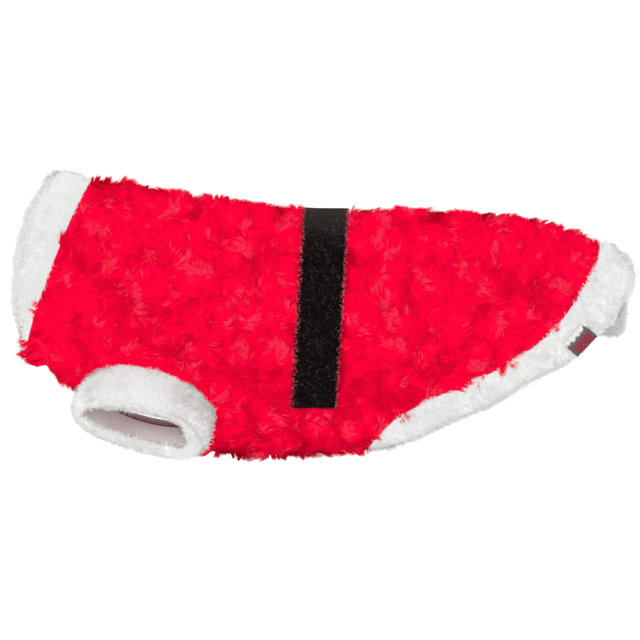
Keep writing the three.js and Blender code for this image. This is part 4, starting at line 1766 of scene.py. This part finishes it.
    def cuff_skin(self, table: tuple[CuffRing, ...], crest: float, lip: float, fat: float) -> Skin:
        """A leg cuff's cloth and under-pile.

        Args:
            table: Its rings.
            crest: How far its rim rounds up past the last ring; below 0, it ends on a flat foot.
            lip: How far down its inner side the pile is turned in, in rings.
            fat: How much the turned-in pile swells at the cuff's rear end, mm.

        Returns:
            Its skin: one face runs up the outer side, over the rim and down the turned-in lip,
            the other down the cuff's plain inner side.
        """
        rings = np.array(table, dtype=float)
        last = len(rings) - 1
        bend = np.linspace(0, math.pi, 9)[1:-1]
        up, down = np.linspace(self.cuff_from, last, 13), np.linspace(last, last - lip, 9)
        at = np.concatenate([up, np.full(len(bend), last), down])
        side = np.concatenate([np.ones(len(up)), np.cos(bend), -np.ones(len(down))])[:, None]
        top = np.concatenate([0 * up, np.sin(bend), 0 * down])[:, None]
        turn = np.linspace(0, 2 * math.pi, 109)[:-1][None]

        def loop(where: Array, out: Callable[[Array], Array], raised: Array | float) -> Array:
            """Rings of points at some heights, `out` mm outside the wall's middle line."""
            i = np.minimum(np.floor(where).astype(int), last - 1)
            t = (where - i)[:, None]
            rows = rings[i] * (1 - t) + rings[i + 1] * t
            x, y, z, half_long, half_wide, tilt, half, tip = rows.T[:, :, None]
            away, tilt = out(half), np.radians(tilt)
            along, across = (half_long + away) * np.cos(turn), (half_wide + away) * np.sin(turn)
            dx = along * np.cos(tilt) - across * np.sin(tilt)
            dy = along * np.sin(tilt) + across * np.cos(tilt)
            return np.stack([x + dx - FORM.centre[0], y + dy - FORM.centre[1], z + raised + tip * dy], 2)

        angle = np.broadcast_to(turn * self.cuff_radius, (len(at), turn.shape[1]))
        pitch = self.ring_pitch
        run = [up * pitch, last * pitch + bend * 2, last * pitch + 6.3 + (last - down) * pitch]
        run = np.concatenate(run)
        run = run[:, None] + 0 * turn
        lumps = 1.0 * (soft_noise(angle, run, 11, 25) - 0.5)
        around = (turn + math.pi) % (2 * math.pi) - math.pi
        swell = fat * bell(around, 0.15, 0.5)
        front = smooth_step(-np.sin(turn + 0.5), 0.1, 0.45)
        deep = smooth_step(last - at, 0.1, 0.55)[:, None] * (side < -0.99)
        below = front * deep
        inward = (1 - side) / 2 * (0.8 + swell + self.lip_fat * (fat > 0) * front * (1 - deep))
        rear = bell(around, -0.55, 0.6) + 0.3 * bell(around, 2.4, 0.5)
        inward = inward - (1 + side) / 2 * 1.15 * fat * rear * smooth_step(at, 1.5, 3.2)[:, None]
        thin = 0.65 * fat * bell(around, 0.85, 0.45)
        thin_at = thin * smooth_step(at, 1.6, 3.0)[:, None]
        inward = inward - (1 - side) / 2 * thin_at - 0.5 * (1 + side) / 2 * thin_at

        def piled(half: Array) -> Array:
            """Where the piled face lies; on the lower front it runs flush into the plain lining."""
            return (1 - below) * (side * (half - 1.4) + lumps - inward) + below * (0.78 - half)

        outer = loop(at, piled, crest * top)
        under = np.linspace(self.cuff_from, last - lip - 0.02, len(at))
        thin_at = thin * smooth_step(under, 1.6, 3.0)[:, None]
        inner = loop(under, lambda half: 0.8 - half + thin_at, 0.0)
        made = Skin(outer, inner, True)
        made.along, made.around = angle, run
        made.edge = below
        made.plain = made.edge[1:] > 0.6
        return made

    def comb(
        self, guides: Guides, rng: np.random.Generator, tall: Array | float, rim: float | None = None
    ) -> Guides:
        """Ruffles the short pile and picks its tints, with painted shade on the lower layer.

        Args:
            guides: The fibres' guides.
            rng: Random numbers.
            tall: How tall each stands, 1 for free pile.
            rim: Angle that the fibres at a free rim point to, if it has one.

        Returns:
            The same guides, combed.
        """
        count = len(guides.root)
        to_x, to_y, lot = locks(guides.along, guides.around, self.lock, 47)
        flow = 5.0 * guides.noise(21, 52)
        length = self.length * (0.8 + 0.25 * lot) * rng.uniform(0.8, 1.1, count)
        turn = flow + (lot - 0.5) * 0.7 + rng.normal(0, 0.5, count)
        if rim is not None:
            turn = np.where(rng.random(count) < guides.edge, rim + rng.normal(0, 0.35, count), turn)
        x = length * 0.7 * np.cos(turn) + 0.18 * to_x
        y = length * 0.7 * np.sin(turn) + 0.18 * to_y
        guides.lean(np.arctan2(y, x), 0.16, rng)
        width = self.width * rng.uniform(0.75, 1.25, count)
        rise = length * (0.36 + 0.08 * lot) * tall * (1 + 1.7 * guides.brim() * rng.random(count) ** 2)
        if rim is not None:
            rise *= 1 + 1.3 * guides.edge * rng.random(count)
        guides.grown = np.stack([np.hypot(x, y), width, rise], 1)
        guides.root = guides.root - guides.normal * np.where(guides.normal[:, 2:3] < -0.6, -0.15, 0.4)
        pick = rng.random(count)
        # Painted shade: fibres low on the lower layer that face up take the darker finish; one in ten
        # anywhere does, at random.
        below = (guides.root[:, 2] < 13) & (guides.normal[:, 2] > 0.1)
        guides.tint = np.where(pick < 0.25, 1.0, np.where((pick > 0.9) | below, 2.0, 0.0))
        return guides

    def build(self, tree: PileTree) -> None:
        """Builds and dresses the trims and cuffs.

        Args:
            tree: The pile's node tree.
        """
        under, fibres = self.finishes()
        rng = np.random.default_rng(self.seed)
        skins = {
            "collar_trim": (self.trim_skin(COLLAR, self.collar_roll, -1), self.collar_fibres),
            "hem_trim": (self.trim_skin(HEM, self.hem_roll, 1), self.hem_fibres),
            "leg_cuff_near": (self.cuff_skin(NEAR_CUFF, 1.7, 0.85, 4.0), self.cuff_fibres),
            "leg_cuff_far": (self.cuff_skin(FAR_CUFF, -0.8, 0.5, 0.0), self.far_cuff_fibres),
        }
        rims = {"collar_trim": math.pi, "hem_trim": 0.0}
        for name, (skin, count) in skins.items():
            weight = np.maximum(smooth_step(skin.normals()[:, :, 2], -0.8, -0.3), 0.25)
            weight = weight * (1 + 1.2 * skin.edge)
            if name.startswith("leg"):
                weight = 1 - skin.edge
            guides = scatter(skin, weight, count, rng)
            tall = np.where(guides.normal[:, 2] < -0.6, 0.3, 1.0)
            if name == "leg_cuff_far":
                tall = np.minimum(tall, np.clip(guides.root[:, 2] / 3, 0.05, 1))
            guides = self.comb(guides, rng, tall, rims.get(name))
            pile = tree.grow(f"{name}_pile", guides, fibres, 2.0, 2.0)
            seat(pile, "white_plush")
            faces = under if name.startswith("leg") else [under[0], under[0]]
            piece = seat(wall_object(f"{name}_cloth", skin, faces), "white_plush", name)


@dataclass
class Overlock:
    """The overlocked seam inside the leg cuff: a dark cord of thread with a row of stitches.

    Attributes:
        pitch: Distance between stitches, mm.
        length: Length of a stitch, mm.
        radius: Its radius, mm.
        inside: How far inside the cuff's wall the row lies, mm.
        height: Its height, mm.
        thread: Linear colour of the thread.
        seed: Seed of the stitches' unevenness.
    """

    pitch: float = 1.8
    length: float = 3.8
    radius: float = 0.46
    inside: float = 1.3
    height: float = 30.5
    thread: Colour = (0.13, 0.004, 0.014)
    seed: int = 3

    def tree(self) -> tuple[bpy.types.NodeTree, dict[str, str]]:
        """Builds the tree that lays one stitch on each point of a line.

        Returns:
            The tree, and its inputs' identifiers by name.
        """
        inputs = {"Length": "NodeSocketFloat", "Radius": "NodeSocketFloat", "Finish": "NodeSocketMaterial"}
        tree, ids = open_tree("overlock_stitches", "Line", inputs, "Stitches")
        start, end = add_node(tree, "NodeGroupInput").outputs, add_node(tree, "NodeGroupOutput")
        bead = add_node(tree, "GeometryNodeMeshUVSphere", {"Segments": 8, "Rings": 6, "Radius": 1.0})
        half = add_math(tree, "MULTIPLY", start["Length"], 0.5)
        inputs = {"X": half, "Y": start["Radius"], "Z": start["Radius"]}
        size = add_node(tree, "ShaderNodeCombineXYZ", inputs)
        stitches = stand_on_points(tree, start["Line"], bead.outputs["Mesh"], size.outputs[0])
        inputs = {"Geometry": stitches, "Material": start["Finish"]}
        feed(tree, end, {0: add_node(tree, "GeometryNodeSetMaterial", inputs).outputs[0]})
        return tree, ids

    def build(self) -> None:
        """Lays the stitches round the leg hole, inside the cuff."""
        ring = NEAR_CUFF[1]
        x, y = oval(ring, -ring.half - self.inside, np.linspace(0, 2 * math.pi, 2401))
        run = np.concatenate([[0], np.cumsum(np.hypot(np.diff(x), np.diff(y)))])
        count = int(run[-1] / self.pitch)
        places = np.arange(count) * run[-1] / count
        x, y = np.interp(places, run, x), np.interp(places, run, y)
        rng = np.random.default_rng(self.seed)
        way = unit(np.stack([np.roll(x, -1) - np.roll(x, 1), np.roll(y, -1) - np.roll(y, 1), 0 * x], 1))
        inward = np.stack([-way[:, 1], way[:, 0], 0 * x], 1)
        z = self.height + rng.normal(0, 0.15, count)
        line = np.stack([x, y, z], 1)
        cord = line - 0.9 * inward + np.array([0, 0, 0.5])
        comb = way * 0.3 + inward * 0.95 + np.array([0, 0, 0.45]) + rng.normal(0, 0.08, way.shape)
        data = {"comb": np.concatenate([comb, way]), "stand": np.concatenate([inward, inward])}
        # Painted shine: the thread's lighter mottles are glints put in its colour, at random.
        shine = tuple(1.5 * channel for channel in self.thread)
        finish = Cloth("maroon_thread", self.thread, shine, 400.0, 2500.0, 0.0002, 0.7).material()
        tree, ids = self.tree()
        values = dict(zip(ids.values(), (self.length * MM, self.radius * MM, finish)))
        seat(grow_piece("cuff_overlock", tree, values, np.concatenate([line, cord]), data), "red_plush")


@dataclass
class Label:
    """The folded woven tab on the hem trim, left bare.

    Attributes:
        start: Where it starts, as a share of the way to the hem's last station.
        end: Where it ends.
        top: Its upper edge, as a share of the coat's width.
        bottom: Its lower edge.
        thick: Its thickness, mm.
        sunk: How deep it lies in the plush, mm.
        grid: Points along the hem and across it.
        tuft_fibres: Fibres of plush over its sewn-in edge.
        tuft_locks: Locks that they fall in.
        seed: Their seed.
        cut: Its flat width and length, m.
    """

    start: float = 0.47
    end: float = 0.93
    top: float = 0.234
    bottom: float = 0.324
    thick: float = 1.2
    sunk: float = 0.2
    grid: tuple[int, int] = (10, 17)
    tuft_fibres: int = 500
    tuft_locks: int = 24
    seed: int = 71
    cut: tuple[float, float] = (0.013, 0.021)

    def build(self, tree: PileTree) -> None:
        """Builds and dresses the label.

        Args:
            tree: The pile's node tree.
        """
        plush, (steps, lines) = WhitePlush(), self.grid
        share = np.linspace(self.start, self.end, steps)
        rows = FORM.rows(HEM, share)
        rows[:, PEEK] = HEM[1].peek * share
        width = FORM.widths(rows)
        way = np.linspace(self.top, self.bottom, lines)
        down = width[:, None] * way[None]
        seam = rows[:, SEAM] * width - FORM.seam_gap / 2
        shares = (down - FORM.fold_reach) / (seam[:, None] - FORM.fold_reach)
        flat, up = np.full(lines, float(Kind.BACK_FLAT.value)), np.ones(lines)
        where = Round(flat, np.full(lines, math.pi / 2), up, shares[steps // 2])
        roll = plush.step + plush.turned(share / plush.span, plush.hem_roll)[1]
        soft = 0.25 * np.sin(np.linspace(0, 5, lines))[None]
        outer = FORM.points(rows, where, roll - self.thick + self.sunk + soft, 0, 0)
        inner = FORM.points(rows, where, roll + self.sunk + soft, 0, 0)
        piece = wall_object("label_tape", Skin(outer, inner, False), [WovenTape().material()] * 2)
        layer = piece.data.uv_layers.new(name="weave")
        u, v = np.meshgrid(np.linspace(0, 1, lines), np.linspace(0, 1, steps))
        flat = np.tile(np.stack([u.ravel(), v.ravel()], 1), (2, 1))
        corner = np.zeros(len(piece.data.loops), dtype=np.int32)
        piece.data.loops.foreach_get("vertex_index", corner)
        layer.data.foreach_set("uv", flat[corner].astype(np.float32).ravel())
        seat(piece, "woven_tape", "label")
        seat(self.tufts(tree, plush, outer), "white_plush")

    def tufts(self, tree: PileTree, plush: WhitePlush, tape: Array) -> bpy.types.Object:
        """Grows the plush that falls over the tape's sewn-in edge.

        Args:
            tree: The pile's node tree.
            plush: The hem trim's plush.
            tape: Points of the tape's upper face, mm.

        Returns:
            The tufts.
        """
        rng = np.random.default_rng(self.seed)
        count = self.tuft_fibres
        place = rng.random(count) * (tape.shape[1] - 1)
        column = np.floor(place).astype(int)
        part = (place - column)[:, None]
        edge = tape[0, column] * (1 - part) + tape[0, column + 1] * part
        middle = tape.shape[1] // 2
        way = tape[3, middle] - tape[0, middle]
        root = edge - unit(way) * rng.uniform(0.2, 1.4, (count, 1)) - [0, 0, 0.6]
        lot = rng.random(self.tuft_locks)[(place * 1.4).astype(int)]
        zero = np.zeros(count)
        guides = Guides(root, np.tile([0.0, 0.0, 1.0], (count, 1)), zero, zero, zero)
        guides.lean(math.atan2(way[1], way[0]) + rng.normal(0, 0.25, count) + (lot - 0.5), 0.15, rng)
        length = (1.2 + 3.4 * lot) * rng.uniform(0.7, 1.1, count)
        guides.grown = np.stack([length, rng.uniform(0.3, 0.5, count), 1.3 + 0.25 * length], 1)
        guides.tint = np.where(rng.random(count) < 0.3, 1.0, 0.0)
        return tree.grow("label_tufts", guides, plush.finishes()[1], 2.0, 2.0)


@dataclass
class Studio:
    """The pale surface, the soft lights and the camera straight above, in metres.

    Attributes:
        view_width: How much of the surface the picture is wide, at the coat's height.
        view_height: That height.
        height: Height of the camera.
        aim: The point that the camera is over.
        sensor: Width of the camera's sensor, mm.
        floor_reach: How far the surface reaches each way.
        floor_drop: How far it lies below the coat.
        floor_colour: Its linear colour.
        lamps: Name, place, size and power of each lamp.
    """

    view_width: float = 0.4352
    view_height: float = 0.022
    height: float = 2.6
    aim: tuple[float, float] = (-0.0024, -0.0019)
    sensor: float = 36.0
    floor_reach: float = 3.0
    floor_drop: float = 0.0003
    floor_colour: Colour = (0.43, 0.43, 0.43)
    lamps: tuple[tuple[str, Place, float, float], ...] = (
        ("key_light", (-0.6, 0.8, 1.6), 1.2, 8.0),
        ("fill_light", (0.9, -0.6, 1.6), 1.4, 4.0),
        ("top_light", (0.02, 0.02, 2.7), 0.6, 38.0),
    )

    def build(self) -> None:
        """Builds the stage."""
        grey, reach = self.floor_colour, self.floor_reach
        finish = Cloth("pale_floor", grey, grey, rise=0.00002, sheen=0.0, glow=2.0).material()
        corners = np.array([[-1, -1, 0], [1, -1, 0], [1, 1, 0], [-1, 1, 0]]) * reach
        floor = mesh_object("floor", corners, np.array([[0, 1, 2, 3]]), [finish], smooth=False)
        floor.location.z = -self.floor_drop
        for name, place, size, power in self.lamps:
            data = bpy.data.lights.new(name, "AREA")
            data.size, data.energy = size, power
            lamp = link_object(name, data)
            lamp.location = place
            aim = np.array([0, 0, 0.02]) - np.array(place)
            lean = math.acos(-aim[2] / float(np.linalg.norm(aim)))
            lamp.rotation_euler = (lean, 0.0, math.atan2(aim[1], aim[0]) - math.pi / 2)
        world = bpy.data.worlds.new("studio")
        world.use_nodes = True
        sky = world.node_tree.nodes["Background"]
        feed(world.node_tree, sky, {"Color": (1.0, 1.0, 1.0), "Strength": 0.55})
        bpy.context.scene.world = world
        bpy.context.scene.view_settings.view_transform = "Standard"
        data = bpy.data.cameras.new("camera")
        data.sensor_width = self.sensor
        data.lens = self.sensor * (self.height - self.view_height) / self.view_width
        data.clip_end = 20.0
        camera = link_object("camera", data)
        camera.location = (*self.aim, self.height)
        bpy.context.scene.camera = camera
        LOG.info("studio: floor, %d lights and a camera", len(self.lamps))


def main() -> None:
    """Builds the stage and the coat, piece by piece."""
    logging.basicConfig(level=logging.INFO, format="%(name)s %(message)s")
    Studio().build()
    tree = PileTree("pile")
    RedPlush().build(tree)
    WhitePlush().build(tree)
    VelvetBelt().build(tree)
    Overlock().build()
    Label().build(tree)


if __name__ == "__main__":
    main()
